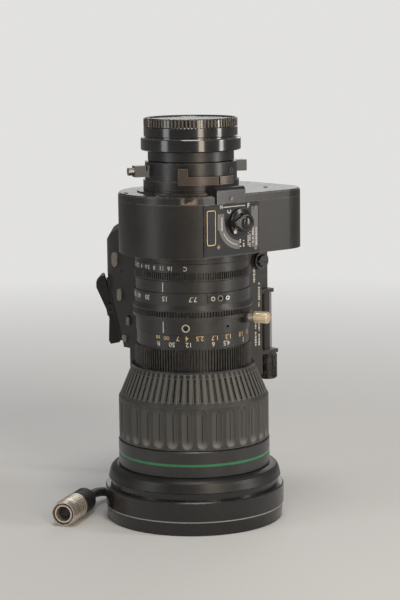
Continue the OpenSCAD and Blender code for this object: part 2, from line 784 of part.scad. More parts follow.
// Zoom lever: spigot, slim shaft, knurled knob and a small tip
knob_grooves = 20;
groove_r = 0.25;
tip_len = 0.9;
module zoom_lever() {
  far = lug_out + lever_shaft_len;
  end = far + lever_knob_len;
  color("#cda873") difference() {
    union() {
      spoke(spigot_r, lever_az, z_lever, lug_out - spigot_len + seat_gap, lug_out + seat_gap);
      spoke(lever_shaft_r, lever_az, z_lever, lug_out + seat_gap, far);
      rotate([0, 0, lever_az]) translate([far, 0, z_lever]) rotate([0, 90, 0]) rotate_extrude()
        polygon([[0, 0], [lever_knob_r - edge, 0], [lever_knob_r, edge],
          [lever_knob_r, lever_knob_len - edge], [lever_knob_r - edge, lever_knob_len],
          [lever_shaft_r - edge, lever_knob_len],
          [lever_shaft_r - edge, lever_knob_len + tip_len], [0, lever_knob_len + tip_len]]);
    }
    for (i = [0 : knob_grooves - 1]) rotate([0, 0, lever_az]) translate([far, 0, z_lever])
      rotate([i * 360 / knob_grooves, 0, 0]) translate([edge, 0, lever_knob_r])
        rotate([0, 90, 0]) cylinder(r = groove_r, h = end - far - 2 * edge, $fn = 16);
  }
}

// Iris ring: gear teeth under the stop numbers
module iris_ring() {
  foot = z_iris + ring_gap;
  top = z_collar - ring_gap;
  color("#1f1f21") union() {
    rotate_extrude() polygon([[bearing_r, foot], [iris_r, foot], [iris_r, top], [bearing_r, top]]);
    translate([0, 0, z_iris_gear]) rotate([0, 0, iris_gear_az]) linear_extrude(iris_gear_h)
      difference() {
        gear_outline(iris_teeth, iris_module);
        circle(r = iris_r - edge);
      }
  }
}

// Iris blades: a thin closed-down diaphragm on the relay flange
iris_t = 1.4;
iris_hole_r = 6;
module iris_blades() {
  color("#2a2a2c") difference() {
    tube(barrel_r - barrel_wall - free_gap, iris_hole_r, z_relay_flange - iris_t, z_relay_flange);
    for (side = [-1, 1]) translate([0, side * rod_out, z_relay_flange - iris_t - over])
      cylinder(r = rod_r + seat_gap, h = iris_t + 2 * over);
  }
}

// Outline of the extender housing, drawn in by an inset
module ext_outline(inset) {
  corner = ext_corner_r - inset;
  half = ext_half_w - inset;
  reach = ext_reach - inset;
  difference() {
    union() {
      circle(r = ext_r - inset);
      translate([0, -half]) square([reach - corner, 2 * half]);
      translate([0, -half + corner]) square([reach, 2 * half - 2 * corner]);
      for (side = [-1, 1]) translate([reach - corner, side * (half - corner)]) circle(r = corner);
    }
    translate([-2 * ext_r, -half - 2 * ext_r]) square([4 * ext_r, 2 * ext_r]);
  }
}

// Extender housing: open at the top, with the collar below and the turret's post inside
post_r = 3;
knob_y = -ext_half_w;
z_knob = z_ext + knob_up;
module extender_housing() {
  color("#1d1d1f") difference() {
    union() {
      difference() {
        translate([0, 0, z_ext]) linear_extrude(ext_h) ext_outline(0);
        translate([0, 0, z_ext + ext_floor]) linear_extrude(ext_h) ext_outline(ext_wall);
      }
      tube(index_r, barrel_r + seat_gap, z_collar, z_ext + over);
      translate([turret_pivot, 0, z_ext + ext_floor - edge]) cylinder(r = post_r,
        h = ext_h - ext_floor);
    }
    disc(light_r - relay_step, z_ext - over, z_ext + ext_floor + over);
    translate([knob_x, knob_y - over, z_knob]) rotate([-90, 0, 0])
      cylinder(r = knob_shaft_r + run_fit, h = ext_wall + 2 * over);
  }
}

// Turret: swings the doubling lens or an open tube into the light
turret_gap = 0.8;
turret_web_h = 5;
turret_bore_r = 13.2;
hub_r = 6;
module extender_turret() {
  low = z_ext + ext_floor + turret_gap;
  high = z_lid - turret_gap;
  far = 2 * turret_pivot;
  color("#6d6e71") difference() {
    union() {
      disc(turret_tube_r, low, low + 2 * turret_web_h);
      translate([far, 0, low]) cylinder(r = turret_tube_r, h = high - low);
      translate([turret_pivot, 0, low]) cylinder(r = hub_r, h = high - low - turret_gap);
      translate([0, -hub_r, low]) cube([far, 2 * hub_r, turret_web_h]);
    }
    disc(turret_bore_r, low - over, high);
    translate([far, 0, low - over]) cylinder(r = turret_bore_r, h = high - low + 2 * over);
    translate([turret_pivot, 0, low - over]) cylinder(r = post_r + run_fit,
      h = high - low + 2 * over);
  }
}

// The doubling lens pair inside the turret's long tube
doubler_t = 6;
module extender_lens() {
  low = z_ext + ext_floor + turret_gap;
  high = z_lid - turret_gap;
  color("#7f97a0") translate([2 * turret_pivot, 0, 0]) {
    round_lens(turret_bore_r, low + over, low + over + doubler_t);
    round_lens(turret_bore_r, high - over - doubler_t, high - over);
  }
}

// Lid: a plain rim below a slightly smaller step and a low round dais for the rear tube
dais_r = 34;
dais_h = 0.9;
z_lid_step = z_rear - dais_h - lid_step;
z_lid_top = z_rear - dais_h;
module extender_lid() {
  color("#1d1d1f") difference() {
    union() {
      translate([0, 0, z_lid]) linear_extrude(z_lid_step - z_lid) ext_outline(0);
      translate([0, 0, z_lid_step - edge]) linear_extrude(lid_step + edge) ext_outline(lid_step);
      disc(dais_r, z_lid_step, z_rear);
    }
    disc(tail_r + over, z_lid - over, z_rear + over);
  }
}

// Block on the lid's near edge, with a rounded top
block_x = -13.8;
block_round_share = 0.46;
block_round = lid_block_d * block_round_share;
block_skin = 1.2;
module lid_block() {
  low = z_lid;
  high = low + lid_block_h;
  near = -ext_half_w - block_skin;
  far = near + lid_block_d;
  color("#26262a") translate([block_x, 0, 0]) rotate([90, 0, 90]) linear_extrude(lid_block_w)
    difference() {
      union() {
        translate([near, low]) square([lid_block_d, lid_block_h - block_round]);
        translate([near + block_round, low]) square([lid_block_d - 2 * block_round, lid_block_h]);
        for (y = [near + block_round, far - block_round]) translate([y, high - block_round])
          circle(r = block_round, $fn = 32);
      }
      translate([-ext_half_w - seat_gap, low - over]) square([lid_block_d, z_lid_top - low + over]);
    }
}

// Control plate on the operator's side, with a blank framed badge field
panel_x = -24.2;
panel_w = 44.8;
panel_t = 0.8;
badge_x = -22.3;
badge_w = 7.3;
badge_h = 21.7;
badge_drop = 2.9;
badge_t = 0.4;
module control_plate() {
  low = z_ext + over;
  high = z_lid - free_gap;
  y = -ext_half_w - panel_t;
  badge_low = high - badge_h - badge_drop;
  color("#4a4a4e") difference() {
    union() {
      translate([panel_x, y, low]) cube([panel_w, panel_t, high - low]);
      translate([badge_x, y - badge_t, badge_low]) cube([badge_w, badge_t + edge / 2, badge_h]);
    }
    translate([knob_x, y - over, z_knob]) rotate([-90, 0, 0])
      cylinder(r = knob_shaft_r + run_fit, h = panel_t + 2 * over);
    translate([badge_x + edge, y - 2 * badge_t, badge_low + edge])
      cube([badge_w - 2 * edge, badge_t * 3 / 2, badge_h - 2 * edge]);
  }
}

// Extender knob: disc, round head with a pointer, and its shaft into the housing
disc_t = 1.4;
pointer_deg = 180;
pointer_w = 5.6;
pointer_root = 5.6;
pointer_step = 1.2;
shaft_in = 2.6;
module extender_knob() {
  face = -ext_half_w - panel_t - free_gap;
  color("#151517") translate([knob_x, face, z_knob]) rotate([90, 0, 0]) {
    cylinder(r = knob_disc_r, h = disc_t);
    cylinder(r = knob_head_r, h = disc_t + knob_head_h);
    rotate([0, 0, pointer_deg]) linear_extrude(disc_t + knob_head_h - pointer_step)
      polygon([[0, -knob_head_r + edge], [pointer_root, -pointer_w / 2],
        [knob_pointer, -edge], [knob_pointer, edge], [pointer_root, pointer_w / 2],
        [0, knob_head_r - edge]]);
    translate([0, 0, -panel_t - free_gap - shaft_in])
      cylinder(r = knob_shaft_r, h = panel_t + free_gap + shaft_in + edge);
  }
}

// Small slotted screws: control plate corners, lid block, lid end and the threaded bush
screw_r = 1.3;
screw_head_h = 0.5;
panel_screw_spots = [[17.4, 28.5], [-13, 6.6], [17.4, 3.6]];
module screw_head() {
  difference() {
    cylinder(r = screw_r, h = screw_head_h);
    translate([-screw_r, -screw_slot_w / 2, screw_head_h / 2])
      cube([2 * screw_r, screw_slot_w, screw_head_h]);
  }
}
screw_slot_w = 0.4;
bush_w = 0.9;
module cover_screws() {
  y = -ext_half_w - panel_t;
  color("#8d8d90") {
    for (spot = panel_screw_spots) translate([spot[0], y, z_ext + spot[1]])
      rotate([90, 0, 0]) screw_head();
    translate([block_x + lid_block_w / 2, -ext_half_w - block_skin, z_lid + 3 * over])
      rotate([90, 0, 0]) screw_head();
    for (side = [-1, 1]) translate([ext_reach - ext_corner_r, side * (ext_half_w - ext_corner_r),
      z_lid_top]) screw_head();
    for (side = [-1, 1]) translate([-ext_r + 6 * over, side * ext_r / 3, z_lid_top])
      screw_head();
    rotate([0, 0, accessory_az]) translate([index_r, 0, z_focus_index + focus_index_h / 2])
      rotate([0, 90, 0]) difference() {
        cylinder(r = accessory_hole_r + bush_w, h = edge);
        translate([0, 0, -over]) cylinder(r = accessory_hole_r, h = 3 * over);
      }
  }
}

// Rear tube: base flange on the lid, with a slim tube for the macro and flange-back rings
rear_wall = 4;
module rear_tube() {
  color("#2b2b2d") rotate_extrude() polygon([
    [rear_tube_r - rear_wall, z_rear], [macro_r, z_rear], [macro_r, z_rear + rear_base_h],
    [rear_tube_r, z_rear + rear_base_h], [rear_tube_r, z_mount],
    [rear_tube_r - rear_wall, z_mount]]);
}

// Macro ring with its L-shaped lever in front of the flange-back ring
macro_lever_r = 33;
macro_lever_h = 3.3;
macro_leg_h = 8.5;
macro_lever_az = [-144, -99];
macro_tab_az = [-97, -78];
macro_leg_deg = 10.4;
module macro_ring() {
  top = z_macro + macro_h;
  clear_r = flange_ring_r + 4 * free_gap;
  color("#1f1f21") union() {
    tube(macro_r, rear_tube_r + run_fit, z_macro, top);
    intersection() {
      union() {
        tube(macro_lever_r, macro_r - edge, top - macro_lever_h / 2, top);
        tube(macro_lever_r, clear_r, top - edge, top + macro_lever_h);
      }
      union() {
        wedge(macro_lever_r, macro_lever_az[0], macro_lever_az[1], z_macro, z_mount);
        wedge(macro_lever_r, macro_tab_az[0], macro_tab_az[1], z_macro, z_mount);
      }
    }
    intersection() {
      tube(macro_lever_r, clear_r, top, top + macro_leg_h);
      wedge(macro_lever_r, macro_lever_az[0], macro_lever_az[0] + macro_leg_deg, z_macro, z_mount);
    }
  }
}

// Flange-back ring: two lugs, one split for the lock screw
ff_az = 160;
lug_len = 9;
lug_high = 7;
lug_thick = 6.6;
lock_shaft_r = 1.2;
set_screw_r = 2;
set_screw_az = -71;
module flange_back_ring() {
  low = z_flange_ring;
  mid = low + flange_ring_h / 2;
  color("#232325") difference() {
    union() {
      tube(flange_ring_r, rear_tube_r + run_fit, low, low + flange_ring_h);
      difference() {
        union() {
          block(ff_az, rear_tube_r + over, flange_ring_r + lug_len, lug_thick,
            mid - lug_high / 2, mid + lug_high / 2);
          block(ff_az + 180, rear_tube_r + over, flange_ring_r + lug_len - 3 * edge, lug_thick,
            mid - lug_high / 2 + 3 * edge, mid + lug_high / 2 + 3 * edge);
          spoke(set_screw_r, set_screw_az, mid, rear_tube_r + over, flange_ring_r + edge);
        }
        disc(rear_tube_r + run_fit, low - over, z_mount);
      }
    }
    spoke(set_screw_r / 2, set_screw_az, mid, flange_ring_r, flange_ring_r + over);
    block(ff_az, flange_ring_r + over, flange_ring_r + 2 * over, 2 * lug_thick,
      mid, mid + lug_high);
    spoke(lock_shaft_r + run_fit, ff_az, mid, flange_ring_r, flange_ring_r + lug_len + over);
  }
}

// Lock screw: a small knurled head outside the lug
lock_head_r = 2.5;
lock_head_len = 3.4;
module lock_screw() {
  mid = z_flange_ring + flange_ring_h / 2;
  far = flange_ring_r + lug_len + free_gap;
  color("#8f8f92") union() {
    spoke(lock_shaft_r, ff_az, mid, flange_ring_r + edge, far + over);
    spoke(lock_head_r, ff_az, mid, far, far + lock_head_len);
  }
}

// Rear mount: flange ring, three-tab bayonet and the tail tube with the rear lens
mount_wall = 1.2;
hub_h = 2.5;
tab_h = 2.5;
tab_deg = 56;
z_tail_top = z_cap + tail_h;
module rear_mount() {
  z_tab = z_cap + hub_h;
  inner = tail_r - mount_wall;
  color("#2e2e31") union() {
    rotate_extrude() polygon([
      [inner, z_mount], [mount_r - edge, z_mount], [mount_r, z_mount + edge],
      [mount_r, z_cap - edge], [mount_r - edge, z_cap], [tail_r + 2 * mount_wall, z_cap],
      [tail_r + 2 * mount_wall, z_tab + tab_h], [tail_r, z_tab + tab_h], [tail_r, z_tail_top],
      [inner - mount_wall, z_tail_top], [inner - mount_wall, z_tail_top - edge],
      [inner, z_tail_top - edge]]);
    intersection() {
      tube(bayonet_r, tail_r + mount_wall, z_tab, z_tab + tab_h);
      for (i = [0 : 2])
        wedge(bayonet_r, i * 120 - tab_deg / 2, i * 120 + tab_deg / 2, z_tab - over,
          z_tab + tab_h + over);
    }
  }
}

// Rear cap: flange, glossy wall, knurled band and a dished top
cap_neck = 0.8;
cap_dish = 0.8;
rib_depth = 0.6;
rib_foot_share = 0.34;
rib_tip_share = 0.2;
module rear_cap() {
  z_knurl = z_cap_top - cap_knurl_h;
  inner = bayonet_r + 2 * free_gap;
  z_ceiling = z_cap_top - cap_top_t;
  core = cap_r - rib_depth;
  function spot(r, turn) = r * [cos(turn * 360 / cap_ribs), sin(turn * 360 / cap_ribs)];
  color("#141416") union() {
    rotate_extrude() polygon([
      [inner, z_cap], [cap_flange_r - edge, z_cap], [cap_flange_r, z_cap + edge],
      [cap_flange_r, z_cap + cap_flange_h - edge], [cap_flange_r - edge, z_cap + cap_flange_h],
      [cap_r - edge, z_cap + cap_flange_h], [cap_r - edge, z_cap + cap_flange_h + cap_neck],
      [cap_r, z_cap + cap_flange_h + cap_neck + edge], [cap_r, z_knurl - edge],
      [core, z_knurl], [core, z_cap_top - edge], [core - edge, z_cap_top],
      [core - 3 * edge, z_cap_top], [core - 4 * edge, z_cap_top - cap_dish],
      [0, z_cap_top - cap_dish], [0, z_ceiling], [inner, z_ceiling]]);
    translate([0, 0, z_knurl]) linear_extrude(cap_knurl_h - edge) difference() {
      polygon([for (i = [0 : cap_ribs - 1]) each [
        spot(core - edge, i - rib_foot_share), spot(cap_r, i - rib_tip_share),
        spot(cap_r, i + rib_tip_share), spot(core - edge, i + rib_foot_share)]]);
      circle(r = core - 3 * edge);
    }
  }
}

// Outline of the drive unit seen along the axis, drawn in by an inset
shoulder_x = shoulder_r - drive_top;
shoulder_y = drive_side - shoulder_r;
module drive_outline(inset) {
  left = -drive_top + inset;
  right = drive_bottom - inset;
  near = -drive_near + inset;
  far = drive_side - inset;
  big = shoulder_r - inset;
  small = drive_corner_r - inset;
  translate([left, near]) square([right - left, far - big - near]);
  translate([left + big, near]) square([right - left - big - small, far - near]);
  translate([left + big, near]) square([right - left - big, far - small - near]);
  translate([left + big, far - big]) circle(r = big);
  translate([right - small, far - small]) circle(r = small);
}

// Moves its children onto the shoulder's facet: +X points outwards, +Z along the facet
z_drive = z_focus_gear + drive_lift;
drive_len = z_ext - z_drive;
facet_up = 23.5;
facet_side = shoulder_y * cos(facet_az) - shoulder_x * sin(facet_az);
module on_facet(out) {
  rotate([0, 0, facet_az]) translate([facet_out + out, facet_side, z_drive + facet_up])
    rotate([0, facet_tilt, 0]) children();
}

// Everything outside the facet, or outside its inner wall
facet_big = 90;
facet_kink = 10;
facet_kink_deg = 3.5;
module beyond_facet(out) {
  intersection() {
    on_facet(out) translate([0, -facet_big / 2, -facet_big])
      cube([facet_big, facet_big, 2 * facet_big]);
    on_facet(out) translate([0, 0, -facet_kink]) rotate([0, facet_kink_deg, 0])
      translate([0, -facet_big / 2, -facet_big]) cube([facet_big, facet_big, 2 * facet_big]);
  }
}

// Slanted cuts that round off the shoulder beside the extender housing
slant_steps = [[6.4, 0, 32], [2.2, 6.4, 62]];
module slants() {
  for (s = slant_steps) rotate([0, 0, facet_az]) translate([facet_out + s[0], facet_side, z_ext + s[1]])
    rotate([0, -s[2], 0]) translate([0, -facet_big / 2, -over])
      cube([facet_big, facet_big, facet_big]);
}

// The hollow of the drive unit, shared by the case and its cover
panel_in = 4.5;
panel_edge = drive_split - panel_in;
panel_step_up = 48;
z_panel_step = z_drive + panel_step_up;
cover_near = 2;
module drive_hollow() {
  difference() {
    translate([0, 0, z_drive + drive_wall])
      linear_extrude(drive_len - 2 * drive_wall) drive_outline(drive_wall);
    disc(drive_bore_r + drive_wall, z_drive, z_ext);
    beyond_facet(-drive_wall);
    translate([panel_edge - drive_wall, -drive_near, z_drive])
      cube([drive_bottom, drive_near + drive_wall, z_panel_step + drive_wall - z_drive]);
  }
}

// Oval bar along X on the top face, between two distances from the axis
module oval(y, z, length, width, from_x, to_x) {
  translate([from_x, y, z]) rotate([0, 90, 0]) {
    for (side = [-1, 1]) translate([side * (length - width) / 2, 0, 0])
      cylinder(r = width / 2, h = to_x - from_x, $fn = 32);
    translate([-(length - width) / 2, -width / 2, 0]) cube([length - width, width, to_x - from_x]);
  }
}

// Places on the top face: distance beyond the axis and height above the drive unit's foot
ret_spot = [drive_side - 29, 57.5];
lamp_spot = [drive_side - 34, 50];
rec_spot = [drive_side - 33.5, 34.5];
switch_spot = [drive_side - 42.4, 18];
iris_button_spot = [drive_side - 38, 6];
lamp_r = 1.2;
button_fit = 0.15;
stem_r = 0.9;
rocker_axle_r = 1.5;
ear_t = 2.2;
ear_h = 7.4;
cheek_h = 3.2;
cheek_share = 0.47;
axle_out = 4.7;
near_lug_in = 10;
near_lug_slant = [4.4, 8.5];
near_lug_x = panel_edge - near_lug_in;
near_lug_h = 16;
rise_in = 53;
foot_w = 13;
rise_y = drive_side - rise_in;
foot_block = [-4, rise_y, 12, rise_y + foot_w];
foot_block_h = 13;
servo_in = 6.8;
servo_x = drive_split - servo_in;
servo_up = 59;
servo_pad_r = 6.7;
servo_pad_t = 0.8;
servo_shaft_r = 2;
post_spots = [[drive_split - 26.5, 14], [drive_split - 11.5, 49]];
board_in = 5;
board_y = drive_side - board_in;
board_post_r = 2.2;
module drive_case() {
  top_x = -drive_top;
  face_x = top_x + drive_wall + over;
  color("#29292c") {
    difference() {
      union() {
        difference() {
          union() {
            translate([0, 0, z_drive]) linear_extrude(drive_len) drive_outline(0);
            translate([0, 0, z_ext - over]) linear_extrude(drive_rise + over) intersection() {
              drive_outline(0);
              translate([-drive_top, rise_y]) square([drive_bottom, drive_side]);
            }
          }
          drive_hollow();
        }
        difference() {
          translate([foot_block[0], foot_block[1], z_drive - foot_block_h])
            cube([foot_block[2] - foot_block[0], foot_block[3] - foot_block[1],
              foot_block_h + drive_wall]);
          translate([foot_block[0] - over, foot_block[3], z_drive - foot_block_h])
            rotate([45, 0, 0]) translate([0, -foot_block_h / 2, -foot_block_h / 2])
              cube([foot_block[2] - foot_block[0] + 2 * over, foot_block_h, foot_block_h / 2]);
        }
        translate([near_lug_x, -drive_near / 2, z_drive]) rotate([90, 0, 0])
          linear_extrude(drive_near / 2) polygon([[0, drive_wall], [0, near_lug_slant[1] - near_lug_h],
            [near_lug_slant[0], -near_lug_h], [near_lug_in, -near_lug_h], [near_lug_in, drive_wall]]);
        translate([servo_x, -drive_near + edge, z_drive + servo_up]) rotate([90, 0, 0])
          cylinder(r = servo_pad_r, h = servo_pad_t + edge);
      }
      translate([drive_split, -drive_near - over, z_drive - over])
        cube([drive_bottom, 2 * drive_side, drive_len + drive_rise + 2 * over]);
      translate([panel_edge, -drive_near - over, z_drive - over])
        cube([drive_bottom, drive_near + over, z_panel_step - z_drive + over]);
      disc(drive_bore_r, z_drive - over, z_ext + over);
      beyond_facet(0);
      slants();
      gear_window(zoom_gear_az, zoom_gear_dist, zoom_pinion_r + zoom_module, z_zoom_teeth,
        z_zoom_gear_top);
      gear_window(iris_gear_az, iris_gear_dist, iris_pinion_r + iris_module, z_iris_gear,
        z_iris_gear + iris_gear_h);
      oval(ret_spot[0], z_drive + ret_spot[1], ret_len + 2 * button_fit, ret_w + 2 * button_fit,
        top_x - over, face_x);
      oval(rec_spot[0], z_drive + rec_spot[1], rec_len + 2 * button_fit, rec_w + 2 * button_fit,
        top_x - over, face_x);
      oval(switch_spot[0], z_drive + switch_spot[1] + switch_travel / 2,
        switch_travel + 2 * (stem_r + button_fit), 2 * (stem_r + button_fit), top_x - over, face_x);
      translate([top_x - over, iris_button_spot[0], z_drive + iris_button_spot[1]])
        rotate([0, 90, 0]) cylinder(r = iris_button_r + run_fit, h = face_x - top_x + over);
      translate([servo_x, -drive_near - servo_pad_t - over, z_drive + servo_up]) rotate([-90, 0, 0])
        cylinder(r = servo_shaft_r + run_fit, h = servo_pad_t + drive_wall + 2 * over);
    }
    for (spot = post_spots) translate([spot[0], board_y, z_drive + spot[1]]) rotate([-90, 0, 0])
      cylinder(r = board_post_r, h = drive_side - drive_wall - board_y + edge);
    translate([top_x - edge, lamp_spot[0], z_drive + lamp_spot[1]]) rotate([0, 90, 0])
      cylinder(r = lamp_r, h = over);
    difference() {
      on_facet(0) for (side = [-1, 1])
        translate([-over, side * (rocker_w / 2 + free_gap + ear_t / 2) - ear_t / 2, 0]) {
          translate([0, 0, -ear_h / 2]) cube([ear_h + over, ear_t, ear_h]);
          translate([0, 0, -rocker_len * cheek_share])
            cube([cheek_h + over, ear_t, 2 * rocker_len * cheek_share]);
        }
      on_facet(0) translate([axle_out, rocker_w, 0]) rotate([90, 0, 0])
        cylinder(r = rocker_axle_r + run_fit, h = 2 * rocker_w);
    }
  }
}

// Opening in the inner wall for a drive gear
module gear_window(az, dist, r, low, high) {
  translate([dist * cos(az), dist * sin(az), low - free_gap])
    cylinder(r = r + free_gap, h = high - low + 2 * free_gap);
}

// Bottom cover: a shallow shell, with two flanges and a duct at its near side
rib_t = 2.5;
cover_drop = 3;
z_cover_foot = z_drive - cover_drop;
riser_t = 4;
rib_high_up = 36.4;
z_rib_high = z_drive + rib_high_up;
rib_high_near = 4;
duct_r = 3.6;
duct_x = drive_split + 3.5;
duct_y = -1.5;
speed_x = drive_split + 4.1;
speed_y = -3.6;
speed_shaft_r = 2.5;
speed_shaft_in = 1.8;
module drive_cover() {
  color("#333337") difference() {
    union() {
      difference() {
        intersection() {
          translate([0, 0, z_drive]) linear_extrude(drive_len) drive_outline(0);
          translate([drive_split, cover_near, z_drive])
            cube([drive_bottom, drive_side * 2, drive_len]);
        }
        intersection() {
          drive_hollow();
          translate([0, cover_near + drive_wall, z_drive]) cube([drive_bottom, drive_side, drive_len]);
        }
      }
      for (rib = [[z_cover_foot, drive_near], [z_rib_high, rib_high_near]]) {
        translate([drive_split + seat_gap, -rib[1], rib[0]])
          cube([drive_bottom - drive_split - seat_gap, rib[1] + cover_near + over, rib_t]);
        translate([panel_edge + seat_gap, -rib[1], rib[0]])
          cube([drive_bottom - panel_edge - over, rib[1] - seat_gap, rib_t]);
      }
      translate([drive_split + seat_gap, cover_near - over, z_cover_foot])
        cube([drive_bottom - drive_split - seat_gap, riser_t + over, cover_drop + drive_wall]);
      translate([duct_x, duct_y, z_cover_foot + rib_t - edge])
        cylinder(r = duct_r, h = z_rib_high - z_cover_foot);
    }
    translate([speed_x, speed_y, z_cover_foot - over]) cylinder(r = speed_shaft_r + run_fit,
      h = speed_shaft_in + over + seat_gap);
  }
}

// Zoom rocker: two raised ends with a dip at the finger's rest, on stub axles
rocker_long_shares = [-0.5, -0.445, -0.13, -0.05, 0.35, 0.43, 0.505, 0.5, 0.09, -0.09, -0.5];
rocker_out = [9.3, 10.1, 6.9, 6.9, 11.2, 10.6, 6.3, 5, 3, 2.4, 3.1];
module zoom_rocker() {
  side = [for (i = [0 : len(rocker_out) - 1]) [rocker_out[i], rocker_len * rocker_long_shares[i]]];
  color("#33302c") on_facet(0) {
    translate([0, rocker_w / 2, 0]) rotate([90, 0, 0]) linear_extrude(rocker_w) polygon(side);
    translate([axle_out, rocker_w / 2 + ear_t, 0]) rotate([90, 0, 0])
      cylinder(r = rocker_axle_r, h = rocker_w + 2 * ear_t);
  }
}

// Push buttons: a cap through the wall with a flange behind it
flange_in = 3.1;
flange_out = 0.5;
flange_plate = 0.8;
module push_button(spot, length, width) {
  z = z_drive + spot[1];
  oval(spot[0], z, length, width, -drive_top - button_proud, -drive_top + flange_in);
  oval(spot[0], z, length + 2 * flange_out, width + 2 * flange_out, -drive_top + flange_in,
    -drive_top + flange_in + flange_plate);
}
module return_button() {
  color("#6b5a48") push_button(ret_spot, ret_len, ret_w);
}
module record_button() {
  color("#6b5a48") push_button(rec_spot, rec_len, rec_w);
}
module iris_button() {
  color("#1b1b1c") translate([-drive_top - button_proud, iris_button_spot[0],
    z_drive + iris_button_spot[1]]) rotate([0, 90, 0]) {
      cylinder(r = iris_button_r, h = button_proud + flange_in);
      translate([0, 0, button_proud + flange_in]) cylinder(r = iris_button_r + flange_out,
        h = flange_plate);
    }
}

// Iris switch: a ribbed slider on the top face, held by a stem through a slot
switch_h = 1.6;
module iris_switch() {
  z = z_drive + switch_spot[1];
  x = -drive_top - seat_gap;
  color("#b9b9bb") {
    difference() {
      translate([x - switch_h, switch_spot[0] - switch_w / 2, z - switch_len / 2])
        cube([switch_h, switch_w, switch_len]);
      for (i = [-1, 0, 1]) translate([x - switch_h, switch_spot[0] - switch_w, z + i * switch_h])
        rotate([-90, 0, 0]) cylinder(r = switch_h / 4, h = 2 * switch_w, $fn = 16);
    }
    translate([x - edge, switch_spot[0], z]) rotate([0, 90, 0])
      cylinder(r = stem_r, h = flange_in + edge + flange_plate);
    translate([x + flange_in, switch_spot[0], z]) rotate([0, 90, 0])
      cylinder(r = 2 * stem_r, h = flange_plate);
  }
}

// Round servo knob with a slot across its face
servo_slot = 1.2;
servo_step = 1.4;
module servo_knob() {
  color("#1b1b1c") translate([servo_x, -drive_near - servo_pad_t - seat_gap, z_drive + servo_up])
    rotate([90, 0, 0]) difference() {
      union() {
        rotate_extrude() polygon([[0, 0], [servo_knob_r, 0], [servo_knob_r, servo_knob_h / 2],
          [servo_knob_r - servo_step, servo_knob_h / 2],
          [servo_knob_r - servo_step - edge, servo_knob_h], [0, servo_knob_h]]);
        translate([0, 0, -servo_pad_t - drive_wall]) cylinder(r = servo_shaft_r,
          h = servo_pad_t + drive_wall + edge);
      }
      translate([-servo_knob_r - over, -servo_slot / 2, servo_knob_h - servo_slot])
        cube([2 * (servo_knob_r + over), servo_slot, 2 * servo_slot]);
    }
}

// Ribbed speed knob under the cover's lower flange
speed_rib_depth = 0.5;
speed_rib_share = 0.28;
module speed_knob() {
  top = z_cover_foot - seat_gap;
  low = top - speed_knob_h;
  core = speed_knob_r - speed_rib_depth;
  function spot(r, turn) = r * [cos(turn * 360 / speed_ribs), sin(turn * 360 / speed_ribs)];
  color("#4f4c48") translate([speed_x, speed_y, 0]) {
    rotate_extrude() polygon([[0, low], [core - edge, low], [core, low + edge], [core, top],
      [speed_shaft_r, top], [speed_shaft_r, z_cover_foot + speed_shaft_in],
      [0, z_cover_foot + speed_shaft_in]]);
    translate([0, 0, low + 2 * edge]) linear_extrude(speed_knob_h - 4 * edge) difference() {
      polygon([for (i = [0 : speed_ribs - 1]) each [
        spot(core - edge, i - speed_rib_share), spot(speed_knob_r, i - speed_rib_share / 2),
        spot(speed_knob_r, i + speed_rib_share / 2), spot(core - edge, i + speed_rib_share)]]);
      circle(r = core - 2 * edge);
    }
  }
}

// Motors and their gears inside the drive unit
zoom_motor_r = 6.5;
zoom_motor_gap = 3.2;
gear_inset = 0.5;
module zoom_motor() {
  low = z_zoom_gear_top + zoom_motor_gap;
  color("#97989b") translate([zoom_gear_dist * cos(zoom_gear_az),
    zoom_gear_dist * sin(zoom_gear_az), 0]) {
      disc(zoom_motor_r, low, z_ext - drive_wall);
      disc(gear_shaft_r, z_zoom_teeth, low + over);
    }
}

// A drive gear with its hub, its gap turned towards the ring that it drives
hub_gear_r = 3;
module pinion(az, dist, teeth, modul, low, high, hub_low, hub_high) {
  translate([dist * cos(az), dist * sin(az), 0]) difference() {
    union() {
      translate([0, 0, low]) rotate([0, 0, az + 180 + 180 / teeth]) linear_extrude(high - low)
        gear_outline(teeth, modul);
      disc(hub_gear_r, hub_low, hub_high);
    }
    disc(gear_shaft_r + seat_gap, hub_low - over, hub_high + over);
  }
}

module zoom_drive_gear() {
  color("#c9a45a") pinion(zoom_gear_az, zoom_gear_dist, zoom_pinion_teeth, zoom_module,
    z_zoom_teeth + gear_inset, z_zoom_gear_top - gear_inset, z_zoom_teeth + gear_inset,
    z_zoom_gear_top + zoom_motor_gap - seat_gap);
}

iris_motor_r = 5.4;
iris_motor_gap = 2.4;
module iris_motor() {
  high = z_iris_gear - iris_motor_gap;
  color("#97989b") translate([iris_gear_dist * cos(iris_gear_az),
    iris_gear_dist * sin(iris_gear_az), 0]) {
      disc(iris_motor_r, z_drive + drive_wall, high);
      disc(gear_shaft_r, high - over, z_iris_gear + iris_gear_h);
    }
}

module iris_drive_gear() {
  color("#c9a45a") pinion(iris_gear_az, iris_gear_dist, iris_pinion_teeth, iris_module,
    z_iris_gear + gear_inset, z_iris_gear + iris_gear_h - gear_inset,
    z_iris_gear - iris_motor_gap + seat_gap, z_iris_gear + iris_gear_h - gear_inset);
}

// Circuit board on two posts, with a few chips
board_x = drive_split - 31.5;
board_size = [25, 1.6, 48];
board_low = 9;
chips = [[4, 8, 9, 10], [15, 20, 6, 6], [5, 28, 12, 7]];
chip_t = 1.8;
module circuit_board() {
  color("#2f6b46") {
    translate([board_x, board_y - board_size[1], z_drive + board_low]) cube(board_size);
    for (c = chips) translate([board_x + c[0], board_y - board_size[1] - chip_t,
      z_drive + board_low + c[1]]) cube([c[2], chip_t + edge, c[3]]);
  }
}

